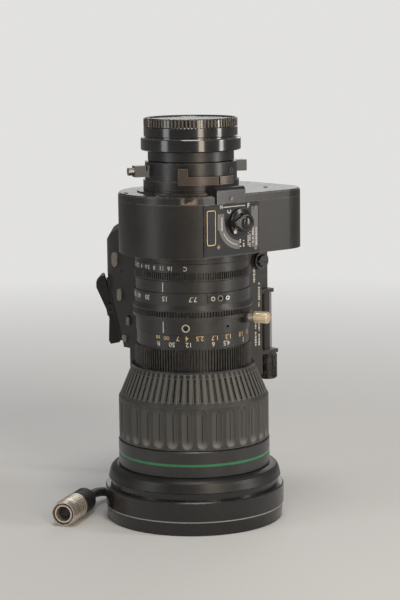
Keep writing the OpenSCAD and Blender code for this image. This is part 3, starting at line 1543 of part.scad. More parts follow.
// Strap brackets on the drive unit's outer side
strap_x = drive_split - 12;
bracket_in = 1.5;
z_bracket_low = z_drive + bracket_in;
z_bracket_high = z_ext + drive_rise - bracket_in - bracket_h;
module strap_brackets() {
  color("#26262a") for (z = [z_bracket_low, z_bracket_high])
    translate([strap_x - strap_w / 2, drive_side, z]) cube([strap_w, bracket_t, bracket_h]);
}

// Hand strap: webbing bent in an arc between the brackets, with a flat tab on each
z_strap_mid = (z_bracket_low + z_bracket_high + bracket_h) / 2;
strap_base_y = drive_side + bracket_t;
strap_half = (z_bracket_high + bracket_h - z_bracket_low) / 2 - bracket_h / 2;
strap_rise = strap_bulge - bracket_t;
strap_arc_r = (strap_half * strap_half + strap_rise * strap_rise) / (2 * strap_rise);
strap_mid_y = drive_side + strap_bulge - strap_arc_r;
module strap_arc(outer, inner, from_y, width) {
  intersection() {
    translate([strap_x - width / 2, strap_mid_y, z_strap_mid]) rotate([0, 90, 0]) difference() {
      cylinder(r = outer, h = width);
      translate([0, 0, -over]) cylinder(r = inner, h = width + 2 * over);
    }
    translate([strap_x - width, from_y, z_bracket_low - bracket_h])
      cube([2 * width, strap_bulge * 2, z_bracket_high - z_bracket_low + 3 * bracket_h]);
  }
}
module hand_strap() {
  width = strap_w - over;
  color("#3c3b3d") {
    strap_arc(strap_arc_r, strap_arc_r - strap_t, strap_base_y, width);
    for (side = [-1, 1]) translate([strap_x - width / 2, strap_base_y,
      z_strap_mid + side * strap_half - bracket_h / 2 + edge])
        cube([width, strap_t, bracket_h - 2 * edge]);
  }
}

pad_cut = 8;
pad_extra = 3;
module strap_pad() {
  outer = strap_arc_r - strap_t - seat_gap;
  color("#2c2c2e") strap_arc(outer, outer - pad_t, strap_base_y + pad_cut, strap_w + pad_extra);
}

// Gland under the drive unit, where the lead leaves
gland_at = [drive_split - 11.5, drive_side - 12];
gland_r = 5;
gland_nut_h = 4;
module cable_gland() {
  color("#202022") translate([gland_at[0], gland_at[1], 0]) union() {
    disc(gland_r + over, z_drive - gland_nut_h, z_drive);
    translate([0, 0, z_drive - gland_len]) cylinder(r1 = lead_d / 2 + over, r2 = gland_r,
      h = gland_len - gland_nut_h + edge);
  }
}

// The plug lies beside the hood: its mating face, its direction and the lead's end
plug_face = [-82.8, 30.3];
plug_az = 32;
lead_exit = 12;
function plug_spot(back) = [plug_face[0] + back * cos(plug_az), plug_face[1] + back * sin(plug_az),
  plug_r];
module on_plug() {
  translate([plug_face[0], plug_face[1], plug_r]) rotate([0, 0, plug_az]) rotate([0, 90, 0])
    children();
}

// The lead: guide points from the gland down to the table, round behind the lens to the plug
lead_rest = lead_d / 2;
lead_drop = 30;
lead_guides = [[gland_at[0], gland_at[1], z_drive - gland_len],
  [gland_at[0], gland_at[1], z_drive - gland_len - lead_drop], [46, 89, 30], [50, 93, 8],
  [62, 104, lead_rest], [82, 112, lead_rest], [101, 108, lead_rest], [107, 90, lead_rest],
  [98, 73, lead_rest], [80, 67, lead_rest], [58, 67, lead_rest], [34, 68, lead_rest],
  [8, 67.5, lead_rest], [-14, 65.5, lead_rest], plug_spot(plug_len + boot_len + lead_exit),
  plug_spot(plug_len + boot_len)];
lead_steps = 3;
lead_sides = 10;
guide_last = len(lead_guides) - 1;
function mid_guide(i) = i <= 0 ? lead_guides[0]
  : i >= guide_last ? lead_guides[guide_last] : (lead_guides[i] + lead_guides[i + 1]) / 2;
function bend(a, b, c, t) = (1 - t) * (1 - t) * a + 2 * t * (1 - t) * b + t * t * c;
lead_path = concat([for (i = [1 : guide_last - 1]) for (k = [0 : lead_steps - 1])
  bend(i == 1 ? lead_guides[0] : mid_guide(i - 1), lead_guides[i],
    i == guide_last - 1 ? lead_guides[guide_last] : mid_guide(i), k / lead_steps)],
  [lead_guides[guide_last]]);
lead_last = len(lead_path) - 1;
function unit(v) = v / norm(v);
function along(i) = i == 0 ? unit(lead_guides[1] - lead_guides[0])
  : i == lead_last ? unit(lead_guides[guide_last] - lead_guides[guide_last - 1])
  : unit(lead_path[i + 1] - lead_path[i - 1]);
function squared(n, d) = unit(n - (n * d) * d);
lead_sideways = [for (i = 0, n = [0, 1, 0]; i <= lead_last;
  i = i + 1, n = squared(n, along(min(i, lead_last)))) squared(n, along(i))];
module lead() {
  rings = [for (i = [0 : lead_last]) for (k = [0 : lead_sides - 1])
    lead_path[i] + lead_d / 2 * (cos(k * 360 / lead_sides) * lead_sideways[i]
      + sin(k * 360 / lead_sides) * cross(along(i), lead_sideways[i]))];
  skins = [for (i = [0 : lead_last - 1]) for (k = [0 : lead_sides - 1]) [i * lead_sides + k,
    (i + 1) * lead_sides + k, (i + 1) * lead_sides + (k + 1) % lead_sides,
    i * lead_sides + (k + 1) % lead_sides]];
  color("#1c1c1d") polyhedron(points = rings, faces = concat(skins,
    [[for (k = [0 : lead_sides - 1]) k]],
    [[for (k = [0 : lead_sides - 1]) lead_last * lead_sides + lead_sides - 1 - k]]));
}

// Black back nut and its tapered boot, behind the plug's shell
nut_share = 0.62;
nut_in = 0.5;
nut_grooves = 3;
nut_groove_w = 0.8;
boot_r = 5.2;
module plug_boot() {
  nut_r = plug_r - nut_in;
  nut_len = boot_len * nut_share;
  pitch = nut_len / (nut_grooves + 1);
  color("#1c1c1d") on_plug() difference() {
    translate([0, 0, plug_len]) rotate_extrude() polygon([
      [0, 0], [nut_r - edge, 0], [nut_r, edge], [nut_r, nut_len - 2 * edge],
      [nut_r - 2 * edge, nut_len], [boot_r, nut_len], [lead_d / 2 + edge, boot_len], [0, boot_len]]);
    for (i = [1 : nut_grooves]) translate([0, 0, plug_len + i * pitch]) difference() {
      cylinder(r = plug_r, h = nut_groove_w);
      translate([0, 0, -over]) cylinder(r = nut_r - edge, h = nut_groove_w + 2 * over);
    }
  }
}

// Metal plug: outer coupling sleeve with grip rings, and an inner ring inside a gap at its mouth
sleeve_nose = 0.7;
sleeve_share = 0.45;
waist = 0.4;
waist_w = 0.9;
shell_rings = 3;
key_depth = 6.5;
mouth_gap_r = 7;
ring_wall = 0.9;
shell_bore_r = 4.8;
module plug_shell() {
  sleeve = plug_len * sleeve_share;
  pitch = (plug_len - sleeve) / (shell_rings + 1);
  color("#b4b1a8") on_plug() difference() {
    rotate_extrude() polygon([
      [0, key_depth], [shell_bore_r, key_depth], [shell_bore_r, edge],
      [shell_bore_r + ring_wall, edge], [shell_bore_r + ring_wall, key_depth],
      [mouth_gap_r, key_depth], [mouth_gap_r, 0], [plug_r - sleeve_nose, 0],
      [plug_r, sleeve / 2], [plug_r, plug_len - edge], [plug_r - edge, plug_len], [0, plug_len]]);
    for (i = [0 : shell_rings]) translate([0, 0, sleeve + i * pitch]) difference() {
      cylinder(r = plug_r + over, h = waist_w);
      translate([0, 0, -over]) cylinder(r = plug_r - waist, h = waist_w + 2 * over);
    }
  }
}

// Contact insert: a black disc with pin holes at the bottom of the shell's mouth
pin_ring_r = 3;
pin_holes = 9;
contact_r = 0.45;
insert_h = 2;
module plug_insert() {
  color("#18181a") on_plug() difference() {
    translate([0, 0, key_depth - insert_h]) cylinder(r = shell_bore_r - seat_gap, h = insert_h);
    for (i = [0 : pin_holes - 1]) rotate([0, 0, i * 360 / pin_holes])
      translate([pin_ring_r, 0, key_depth - insert_h - over]) cylinder(r = contact_r,
        h = over + insert_h / 2, $fn = 16);
  }
}

hood();
hood_adapter();
front_barrel();
front_retainer();
front_lens();
inner_lenses();
focus_ring();
focus_grip();
focus_cell();
focus_lens();
main_barrel();
focus_index_ring();
zoom_index_ring();
zoom_ring();
zoom_plate();
zoom_lever();
zoom_cam_tube();
variator_cell();
variator_lens();
compensator_cell();
compensator_lens();
guide_rods();
iris_ring();
iris_blades();
extender_housing();
extender_lid();
lid_block();
control_plate();
extender_knob();
extender_turret();
extender_lens();
cover_screws();
rear_tube();
macro_ring();
flange_back_ring();
lock_screw();
rear_mount();
rear_cap();
drive_case();
drive_cover();
zoom_rocker();
return_button();
record_button();
iris_button();
iris_switch();
servo_knob();
speed_knob();
zoom_motor();
zoom_drive_gear();
iris_motor();
iris_drive_gear();
circuit_board();
strap_brackets();
hand_strap();
strap_pad();
cable_gland();
lead();
plug_boot();
plug_shell();
plug_insert();
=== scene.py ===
import math

import bmesh
import bpy
import numpy as np
from mathutils import Matrix, Vector


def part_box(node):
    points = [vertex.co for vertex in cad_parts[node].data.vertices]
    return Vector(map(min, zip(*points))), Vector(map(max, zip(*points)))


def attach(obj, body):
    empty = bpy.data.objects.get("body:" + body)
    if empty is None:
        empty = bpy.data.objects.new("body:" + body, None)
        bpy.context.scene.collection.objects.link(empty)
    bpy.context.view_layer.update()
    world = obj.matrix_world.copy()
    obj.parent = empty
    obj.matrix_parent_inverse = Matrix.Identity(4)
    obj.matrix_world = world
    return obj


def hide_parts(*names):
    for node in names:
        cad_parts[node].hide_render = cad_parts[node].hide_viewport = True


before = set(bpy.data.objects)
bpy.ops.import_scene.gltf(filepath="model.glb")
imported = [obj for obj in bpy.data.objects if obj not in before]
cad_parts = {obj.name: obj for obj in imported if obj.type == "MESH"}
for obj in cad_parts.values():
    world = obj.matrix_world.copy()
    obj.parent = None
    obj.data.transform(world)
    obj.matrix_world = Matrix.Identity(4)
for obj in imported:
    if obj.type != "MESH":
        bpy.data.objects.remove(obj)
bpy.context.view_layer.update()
mm = 0.001
mergeDistance = 1e-7
made = {}  # the finishes by name
viewAzimuth = -129.7  # the direction that faces the camera, degrees from +X


def addObject(name, data):
    # A new object in the scene.
    thing = bpy.data.objects.new(name, data)
    bpy.context.scene.collection.objects.link(thing)
    return thing


# Camera: stands where the picture was taken, turned a little so that the lens sits left of centre
cameraPlace = {
    "towards": -130.0,  # direction from the lens's axis to the camera, degrees from +X
    "distance": 1.1766,
    "height": 0.3175,
    "pitch": 8.65,
    "roll": -0.65,
    "focalShare": 1880 / 600,  # focal length over the picture's height
    "axisLeft": 7.5 / 1880,  # how far left of the middle the lens's axis stands, over the focal length
    "sensor": 36.0,
    "clip": (0.05, 30.0),
}


def makeCamera(place):
    # Looks level at the lens's axis, then down by pitch, aside by axisLeft and tilted by roll.
    data = bpy.data.cameras.new("photoCamera")
    data.sensor_width = place["sensor"]
    data.lens = place["sensor"] * place["focalShare"]
    data.clip_start, data.clip_end = place["clip"]
    towards, pitch = math.radians(place["towards"]), math.radians(place["pitch"])
    heading = towards + math.pi - math.atan(place["axisLeft"])
    forward = Vector((math.cos(heading) * math.cos(pitch), math.sin(heading) * math.cos(pitch),
                      -math.sin(pitch)))
    right = forward.cross(Vector((0, 0, 1))).normalized()
    up = right.cross(forward)
    turn = Matrix((right, up, -forward)).transposed().to_4x4()
    spot = Vector((math.cos(towards), math.sin(towards), 0)) * place["distance"]
    spot.z = place["height"]
    camera = addObject("photoCamera", data)
    camera.matrix_world = (Matrix.Translation(spot) @ turn
                           @ Matrix.Rotation(math.radians(place["roll"]), 4, "Z"))
    bpy.context.scene.camera = camera


makeCamera(cameraPlace)
print("camera placed")


# Mesh helpers: every piece is a list of closed parts, each a vertex array and a face array

def makePiece(name, parts, finishName, body="lens_barrel", smooth=40):
    # Joins the parts into one mesh object in metres, with a finish, and rides it on a body.
    points, faces, start = [], [], 0
    for vertices, cells in parts:
        points.append(vertices)
        faces.extend([corner + start for corner in cell] for cell in cells)
        start += len(vertices)
    points = np.concatenate(points) * mm
    mesh = bpy.data.meshes.new(name)
    mesh.from_pydata(points, [], faces)
    shell = bmesh.new()
    shell.from_mesh(mesh)
    bmesh.ops.remove_doubles(shell, verts=shell.verts, dist=mergeDistance)
    bmesh.ops.recalc_face_normals(shell, faces=shell.faces)
    shell.to_mesh(mesh)
    shell.free()
    if smooth:
        mesh.shade_smooth()
        mesh.set_sharp_from_angle(angle=math.radians(smooth))
    mesh.materials.append(made[finishName])
    piece = addObject(name, mesh)
    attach(piece, body)
    return piece


def gridCells(rows, columns, closeRows=False, closeColumns=False):
    # Quads of a rows x columns grid, numbered row by row: (i, j), (i, j+1), (i+1, j+1), (i+1, j).
    i = np.arange(rows if closeRows else rows - 1)[:, None]
    j = np.arange(columns if closeColumns else columns - 1)[None, :]
    nextI, nextJ = (i + 1) % rows, (j + 1) % columns
    quads = np.stack([i * columns + j, i * columns + nextJ, nextI * columns + nextJ,
                      nextI * columns + j], axis=-1)
    return quads.reshape(-1, 4).tolist()


def tube(loops):
    # A closed tube along the loops, with a flat face on the first and the last.
    rows, columns = loops.shape[:2]
    cells = gridCells(rows, columns, closeColumns=True)
    corners = np.arange(rows * columns).reshape(rows, columns)
    return loops.reshape(-1, 3), cells + [corners[0, ::-1].tolist(), corners[-1].tolist()]


def hoop(loops):
    # A tube whose last loop joins the first.
    return loops.reshape(-1, 3), gridCells(*loops.shape[:2], closeRows=True, closeColumns=True)


def stacked(x, y, z):
    # Points from their three coordinates, each an array or one number.
    return np.stack(np.broadcast_arrays(x, y, z), axis=-1)


def onCylinder(across, up, out, radius, azimuth, height):
    # Wraps flat places on a cylinder: angle = azimuth + across / radius, height = height + up.
    angle = np.radians(azimuth) + across / radius
    reach = radius + out
    return stacked(reach * np.cos(angle), reach * np.sin(angle), height + up)


def flatBar(centre, size, face, thick=0.16, sink=0.05):
    # A thin upright bar on the flat face y = face that looks to -Y: x and z corners about centre.
    corners = np.array([[-1, -1], [1, -1], [1, 1], [-1, 1]]) * size / 2 + centre
    return tube(np.stack([stacked(corners[:, 0], y, corners[:, 1])
                          for y in (face - thick + sink, face + sink)]))


def flatArc(centre, inner, outer, start, end, face, thick=0.16, sink=0.05, steps=28):
    # A ring's part on the flat face y = face: x = cx + r cos a, z = cz + r sin a, for a from start to end.
    a = np.radians(np.linspace(start, end, steps + 1))
    near, far = face - thick + sink, face + sink
    loops = [stacked(centre[0] + r * np.cos(a), y, centre[1] + r * np.sin(a))
             for r, y in ((inner, near), (outer, near), (outer, far), (inner, far))]
    return tube(np.stack(loops, axis=1))


lettering = {"thick": 0.14, "sink": 0.05, "bold": 0.012, "curveSteps": 3}
digits = {"tall": 1.0, "middle": 0.0}  # a digit's height and middle in the font's own units


def textParts(words, height, bold=lettering["bold"]):
    # The letters of a text as one flat solid, centred: across and up in mm, out from -sink to thick-sink.
    data = bpy.data.curves.new("lettering", "FONT")
    data.body = words
    data.align_x, data.align_y = "CENTER", "CENTER"
    data.size, data.extrude, data.offset = 1.0, 0.5, bold
    data.resolution_u = lettering["curveSteps"]
    letters = addObject("lettering", data)
    bpy.context.view_layer.update()
    mesh = bpy.data.meshes.new_from_object(letters)
    points = np.empty(len(mesh.vertices) * 3)
    mesh.vertices.foreach_get("co", points)
    across, up, out = points.reshape(-1, 3).T
    cells = [list(face.vertices) for face in mesh.polygons]
    bpy.data.objects.remove(letters)
    bpy.data.curves.remove(data)
    scale = height / digits["tall"]
    return (across * scale, (up - digits["middle"]) * scale,
            (out + 0.5) * lettering["thick"] - lettering["sink"], cells)


def measureDigits():
    # Sizes every text by the digit 8: its height, and the middle between its lowest and highest point.
    up = textParts("8", 1.0)[1]
    digits["middle"] = (up.max() + up.min()) / 2
    digits["tall"] = up.max() - up.min()


def dialWords(entries, height, radius, z):
    # Texts upside down round a ring: each entry is (words, degrees right of the middle of the view).
    parts = []
    for words, degrees in entries:
        across, up, out, cells = textParts(words, height)
        parts.append((onCylinder(-across, -up, out, radius, viewAzimuth + degrees, z), cells))
    return parts


measureDigits()


# The lead: the same guide points as the solid, in mm, joined by quadratic bends
leadRoute = {
    "diameter": 6.0,
    "sides": 18,
    "stepsPerBend": 9,
    "guides": [[45, 88, 90], [45, 88, 60], [46, 89, 30], [50, 93, 8], [62, 104, 3], [82, 112, 3],
               [101, 108, 3], [107, 90, 3], [98, 73, 3], [80, 67, 3], [58, 67, 3], [34, 68, 3],
               [8, 67.5, 3], [-14, 65.5, 3]],
    "plugFace": [-82.8, 30.3, 8.2],
    "plugAzimuth": 32.0,
    "plugReach": (61.0, 49.0),  # how far behind the plug's mouth the last two guides lie
}


def leadLine(route):
    # Between the middles of two guide legs: (1-t)^2 a + 2t(1-t) b + t^2 c, with b the guide between.
    turn = math.radians(route["plugAzimuth"])
    back = np.array([math.cos(turn), math.sin(turn), 0.0])
    lying = [np.array(route["plugFace"]) + reach * back for reach in route["plugReach"]]
    guides = np.array(route["guides"] + lying, float)
    middles = (guides[:-1] + guides[1:]) / 2
    starts = np.concatenate([guides[:1], middles[1:-1]])
    ends = np.concatenate([middles[1:-1], guides[-1:]])
    t = np.linspace(0, 1, route["stepsPerBend"], endpoint=False)[None, :, None]
    bends = ((1 - t) ** 2 * starts[:, None] + 2 * t * (1 - t) * guides[1:-1][:, None]
             + t ** 2 * ends[:, None])
    return np.concatenate([bends.reshape(-1, 3), guides[-1:]])


def sweep(line, radius, sides, aside=(0.31, 0.17, 0.93)):
    # A tube: centre + radius (cos a side + sin a lift), both square to the line. The first side is the
    # line's direction x aside, and each next one is the last, made square to the line again.
    along = np.gradient(line, axis=0)
    along /= np.linalg.norm(along, axis=1)[:, None]
    side = np.cross(along, aside)
    side /= np.linalg.norm(side, axis=1)[:, None]
    for i in range(1, len(line)):
        carried = side[i - 1] - along[i] * (side[i - 1] @ along[i])
        side[i] = carried / np.linalg.norm(carried)
    lift = np.cross(along, side)
    a = np.linspace(0, 2 * np.pi, sides, endpoint=False)[None, :, None]
    skin = line[:, None] + radius * (np.cos(a) * side[:, None] + np.sin(a) * lift[:, None])
    return tube(skin)


# Materials: all of them read Object coordinates, so a pattern stays on its piece

def feed(tree, node, sockets):
    # Gives each named socket of a node its value, or links another node's output to it.
    for key, value in sockets.items():
        if isinstance(value, bpy.types.NodeSocket):
            tree.links.new(value, node.inputs[key])
        else:
            node.inputs[key].default_value = value


def put(tree, kind, sockets=None, **settings):
    # A new shader node with its settings and sockets.
    node = tree.nodes.new("ShaderNode" + kind)
    for key, value in settings.items():
        setattr(node, key, value)
    feed(tree, node, sockets or {})
    return node


def newMaterial(name):
    # A material with its node tree, its shader and the place on the piece.
    material = bpy.data.materials.new(name)
    material.use_nodes = True
    tree = material.node_tree
    return material, tree, tree.nodes["Principled BSDF"], put(tree, "TexCoord").outputs["Object"]


def maths(tree, operation, *values):
    # One step of arithmetic on one to three values.
    return put(tree, "Math", dict(enumerate(values)), operation=operation).outputs[0]


def times(tree, first, second):
    # first x second.
    return maths(tree, "MULTIPLY", first, second)


def ramp(tree, value, low, high, start=0.0, end=1.0):
    # start where value is below low, end above high, straight between.
    return put(tree, "MapRange", {"Value": value, "From Min": low, "From Max": high, "To Min": start,
                                  "To Max": end}).outputs["Result"]


def mixColour(tree, share, first, second):
    # first where share is 0 and second where it is 1.
    return put(tree, "Mix", {0: share, 6: first, 7: second}, data_type="RGBA").outputs[2]


def rgba(colour):
    # The colour with full cover.
    return (*colour, 1.0)


def paint(tree, share, base, tone):
    # base where share is 0 and the plain tone where it is 1.
    return mixColour(tree, share, base, rgba(tone))


def noise(tree, place, size, detail=3.0, roughness=0.55):
    # Noise whose blots are about size mm wide.
    return put(tree, "TexNoise", {"Vector": place, "Scale": 1 / (size * mm), "Detail": detail,
                                  "Roughness": roughness}).outputs["Fac"]


def coordinates(tree, place):
    # The place's X, Y and Z, in metres.
    return put(tree, "SeparateXYZ", {"Vector": place}).outputs


worn = {
    "paler": 1.35,  # the patch colour over the plain one, where a finish names none
    "patch": (0.35, 0.68),  # noise from which the patch colour comes in, and is full
    "patchRough": (0.9, 1.12),  # roughness of both, over the finish's own
    "scuff": (0.56, 0.72),
    "edge": (0.985, 0.9),  # cosine between the rounded and the true normal: whole, and rubbed bare
    "edgeBlot": 3.2,
    "edgeBreak": (0.62, 0.72),  # noise from which an edge is rubbed, less edgeGain x how much it is
    "edgeGain": 0.3,
    "dullStep": 0.2,  # mm over which the coat ends
    "dullRough": 0.3,
}


def finish(name, colour, rough, patch=None, blot=14, metal=0.0, specular=0.5, coat=(0.0, 0.1),
           sheen=0.0, grain=None, scuff=None, wear=None, dullAbove=None, extra=None):
    # A finish with soft patches of a second colour, a grain, scuffs and edges rubbed to a third.
    # Above the height dullAbove, in mm, it is rougher and has no coat.
    material, tree, shader, place = newMaterial(name)
    patches = ramp(tree, noise(tree, place, blot), *worn["patch"])
    base = mixColour(tree, patches, rgba(colour), rgba(patch or [c * worn["paler"] for c in colour]))
    roughness = ramp(tree, patches, 0.0, 1.0, *(rough * share for share in worn["patchRough"]))
    if scuff:
        rubbed = ramp(tree, noise(tree, place, scuff[1], 8.0, 0.7), *worn["scuff"])
        roughness = maths(tree, "MULTIPLY_ADD", rubbed, scuff[0], roughness)
    if extra:
        base = extra(tree, place, base)
    if wear:
        tone, width, share = wear
        rounded = put(tree, "Bevel", {"Radius": width * mm}, samples=6).outputs["Normal"]
        plain = put(tree, "NewGeometry").outputs["Normal"]
        turned = put(tree, "VectorMath", {0: rounded, 1: plain}, operation="DOT_PRODUCT")
        edge = ramp(tree, turned.outputs["Value"], *worn["edge"])
        broken = ramp(tree, noise(tree, place, worn["edgeBlot"], 6.0, 0.65),
                      *(level - share * worn["edgeGain"] for level in worn["edgeBreak"]))
        base = paint(tree, times(tree, edge, broken), base, tone)
    weight = coat[0]
    if dullAbove:
        up = coordinates(tree, place)["Z"]
        low, high = dullAbove * mm, (dullAbove + worn["dullStep"]) * mm
        weight = ramp(tree, up, high, low, 0.0, coat[0])
        roughness = maths(tree, "MULTIPLY_ADD", ramp(tree, up, low, high), worn["dullRough"], roughness)
    feed(tree, shader, {"Base Color": base, "Roughness": roughness, "Metallic": metal,
                        "Specular IOR Level": specular, "Coat Weight": weight,
                        "Coat Roughness": coat[1], "Sheen Weight": sheen, "Sheen Roughness": 0.4})
    if grain:
        bump = put(tree, "Bump", {"Height": noise(tree, place, grain[1], 2.0, 0.5),
                                  "Distance": grain[0] * mm, "Strength": 1.0})
        feed(tree, shader, {"Normal": bump.outputs["Normal"]})
    return material


def band(tree, place, low, high, soft=0.05):
    # 1 between two heights in mm, fading over soft mm to each side of both.
    up = coordinates(tree, place)["Z"]
    return times(tree, ramp(tree, up, (low - soft) * mm, (low + soft) * mm),
                 ramp(tree, up, (high + soft) * mm, (high - soft) * mm))


def lowest(node):
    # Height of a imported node's lowest point, in mm.
    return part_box(node)[0][2] / mm


def highest(node):
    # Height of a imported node's highest point, in mm.
    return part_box(node)[1][2] / mm


# Heights and distances from the axis in mm, for what is painted on part of a piece
stripe = {"low": lowest("front_barrel") + 7.1, "high": lowest("front_barrel") + 8.6,
          "tone": (0.022, 0.20, 0.075)}
# A painted highlight along the step of the hood's lip
hoodHighlightLine = {"low": lowest("hood") + 8.4, "high": lowest("hood") + 9.15, "soft": 0.12,
            "tone": (0.34, 0.33, 0.31)}
# The cap's ribs: painted shade in their gaps and painted highlights on their crests
capRibShadeAndHighlight = {"count": 80, "low": highest("rear_cap") - 5.1, "high": highest("rear_cap") - 0.6,
           "soft": 0.15, "gap": (0.004, 0.004, 0.004), "gapFrom": (0.0, -0.6),
           "crest": (0.16, 0.135, 0.10), "crestFrom": (0.1, 0.8)}
# The grip's painted light: painted shade in its slots and slits, painted highlights on its fins and scallop
# floors
gripLightAndShade = {
    "slotShade": (0.007, 0.007, 0.0065),
    "slots": 64, "slotsAt": (80.6, 98.4, 0.5),  # lowest, highest, and how softly it ends
    "slotFrom": (0.1, 0.6), "fin": (0.12, 0.117, 0.108), "finFrom": (-0.35, -0.95),
    "scallops": 32, "slitsAt": (56.5, 74.0, 0.8), "slit": 0.3, "slitRadius": 46.5,
    "slitEdge": (-0.01, 0.004),
    "dishInside": (47.6, 47.1), "dishAt": (52.6, 77.8, 0.2), "dish": (0.075, 0.073, 0.068),
    "endAt": (50.6, 55.8, 2.2), "end": (0.17, 0.165, 0.155),
}
leverKnob = {"from": 42.8, "tone": (0.84, 0.69, 0.48)}
macroArm = {"from": 30.1, "tone": (0.080, 0.060, 0.047)}
# A painted reflection of soft light, pale grey, on what stands out of the lock ring
lockArmsReflection = {"from": 29.3, "tone": (0.125, 0.128, 0.130)}
# A painted reflection of warm light on the lid's side, broken up by noise
lidReflection = {"azimuth": -132.0, "width": (7.4, 4.44), "low": 203.4, "high": 207.2, "soft": 0.6,
          "blot": 4.0, "broken": (0.36, 0.52), "tone": (0.26, 0.19, 0.145)}  # width in degrees: none, full
bush = {"low": 118.0, "high": 134.0, "tone": (0.60, 0.54, 0.46)}
plateEnd = {"upTo": -21.9, "tone": (0.010, 0.010, 0.017)}
weave = {"middle": (80.89, 141.5), "radius": 40.2, "rib": 1.3, "crossRib": 0.9, "from": (-0.6, 0.8),
         "tone": (0.045, 0.044, 0.043)}


def around(tree, place):
    # Angle about the optical axis in radians, and distance from it in metres.
    x, y = coordinates(tree, place)[:2]
    squares = [times(tree, part, part) for part in (x, y)]
    return maths(tree, "ARCTAN2", y, x), maths(tree, "SQRT", maths(tree, "ADD", *squares))


def crests(tree, angle, count):
    # cos(count x angle): 1 on each rib's middle and -1 between two ribs.
    return maths(tree, "COSINE", times(tree, angle, float(count)))


def ringed(look):
    # A paint for a band between two heights.
    def paintRing(tree, place, base):
        zone = band(tree, place, look["low"], look["high"], look.get("soft", 0.05))
        return paint(tree, zone, base, look["tone"])
    return paintRing


def outside(look):
    # A paint for what stands further from the axis than the ring itself.
    def paintArm(tree, place, base):
        share = ramp(tree, around(tree, place)[1], look["from"] * mm, (look["from"] + 0.1) * mm)
        return paint(tree, share, base, look["tone"])
    return paintArm


def paintCapRibShadeAndHighlight(tree, place, base):
    # Painted shade in the gaps and painted highlights on the crests round the cap's top.
    crest = crests(tree, around(tree, place)[0], capRibShadeAndHighlight["count"])
    zone = band(tree, place, capRibShadeAndHighlight["low"], capRibShadeAndHighlight["high"], capRibShadeAndHighlight["soft"])
    for part in ("gap", "crest"):
        share = times(tree, zone, ramp(tree, crest, *capRibShadeAndHighlight[part + "From"]))
        base = paint(tree, share, base, capRibShadeAndHighlight[part])
    return base


def paintGripLightAndShade(tree, place, base):
    # Painted shade in the slots of the flare and the slits of the scallops; painted highlights on the fins,
    # on the scallops' floors and, paler still, on their lower ends.
    look = gripLightAndShade
    angle, reach = around(tree, place)
    fins = crests(tree, angle, look["slots"])
    zone = band(tree, place, *look["slotsAt"])
    base = paint(tree, times(tree, zone, ramp(tree, fins, *look["slotFrom"])), base, look["slotShade"])
    base = paint(tree, times(tree, zone, ramp(tree, fins, *look["finFrom"])), base, look["fin"])
    inside = ramp(tree, reach, *(distance * mm for distance in look["dishInside"]))
    dish = times(tree, inside, band(tree, place, *look["dishAt"]))
    base = paint(tree, dish, base, look["dish"])
    base = paint(tree, times(tree, dish, band(tree, place, *look["endAt"])), base, look["end"])
    narrow = math.cos(look["scallops"] * look["slit"] / look["slitRadius"])
    slits = ramp(tree, crests(tree, angle, look["scallops"]),
                 *(narrow + edge for edge in look["slitEdge"]))
    return paint(tree, times(tree, band(tree, place, *look["slitsAt"]), slits), base, look["slotShade"])


def paintLidReflection(tree, place, base):
    # A painted reflection of warm light on a patch of the lid's side.
    away = maths(tree, "SUBTRACT", around(tree, place)[0], math.radians(lidReflection["azimuth"]))
    share = ramp(tree, maths(tree, "ABSOLUTE", away), *np.radians(lidReflection["width"]).tolist())
    share = times(tree, share, band(tree, place, lidReflection["low"], lidReflection["high"], lidReflection["soft"]))
    share = times(tree, share, ramp(tree, noise(tree, place, lidReflection["blot"], 6.0), *lidReflection["broken"]))
    return paint(tree, share, base, lidReflection["tone"])


def darkEnd(tree, place, base):
    # The control plate's left end.
    x = coordinates(tree, place)["X"]
    return paint(tree, ramp(tree, x, (plateEnd["upTo"] + 0.05) * mm, plateEnd["upTo"] * mm), base,
                 plateEnd["tone"])


def woven(tree, place, base):
    # Ribs along the arc length r atan2(z - cz, y - cy), crossed by finer ones along x.
    x, y, z = coordinates(tree, place)
    y, z = (maths(tree, "SUBTRACT", part, centre * mm) for part, centre in zip((y, z), weave["middle"]))
    along = crests(tree, maths(tree, "ARCTAN2", z, y), 2 * math.pi * weave["radius"] / weave["rib"])
    across = crests(tree, x, 2 * math.pi / (weave["crossRib"] * mm))
    return paint(tree, ramp(tree, times(tree, along, across), *weave["from"]), base, weave["tone"])


rubbedBrown = (0.16, 0.13, 0.10)
satin = dict(colour=(0.017, 0.0165, 0.016), specular=0.65, grain=(0.006, 0.3))
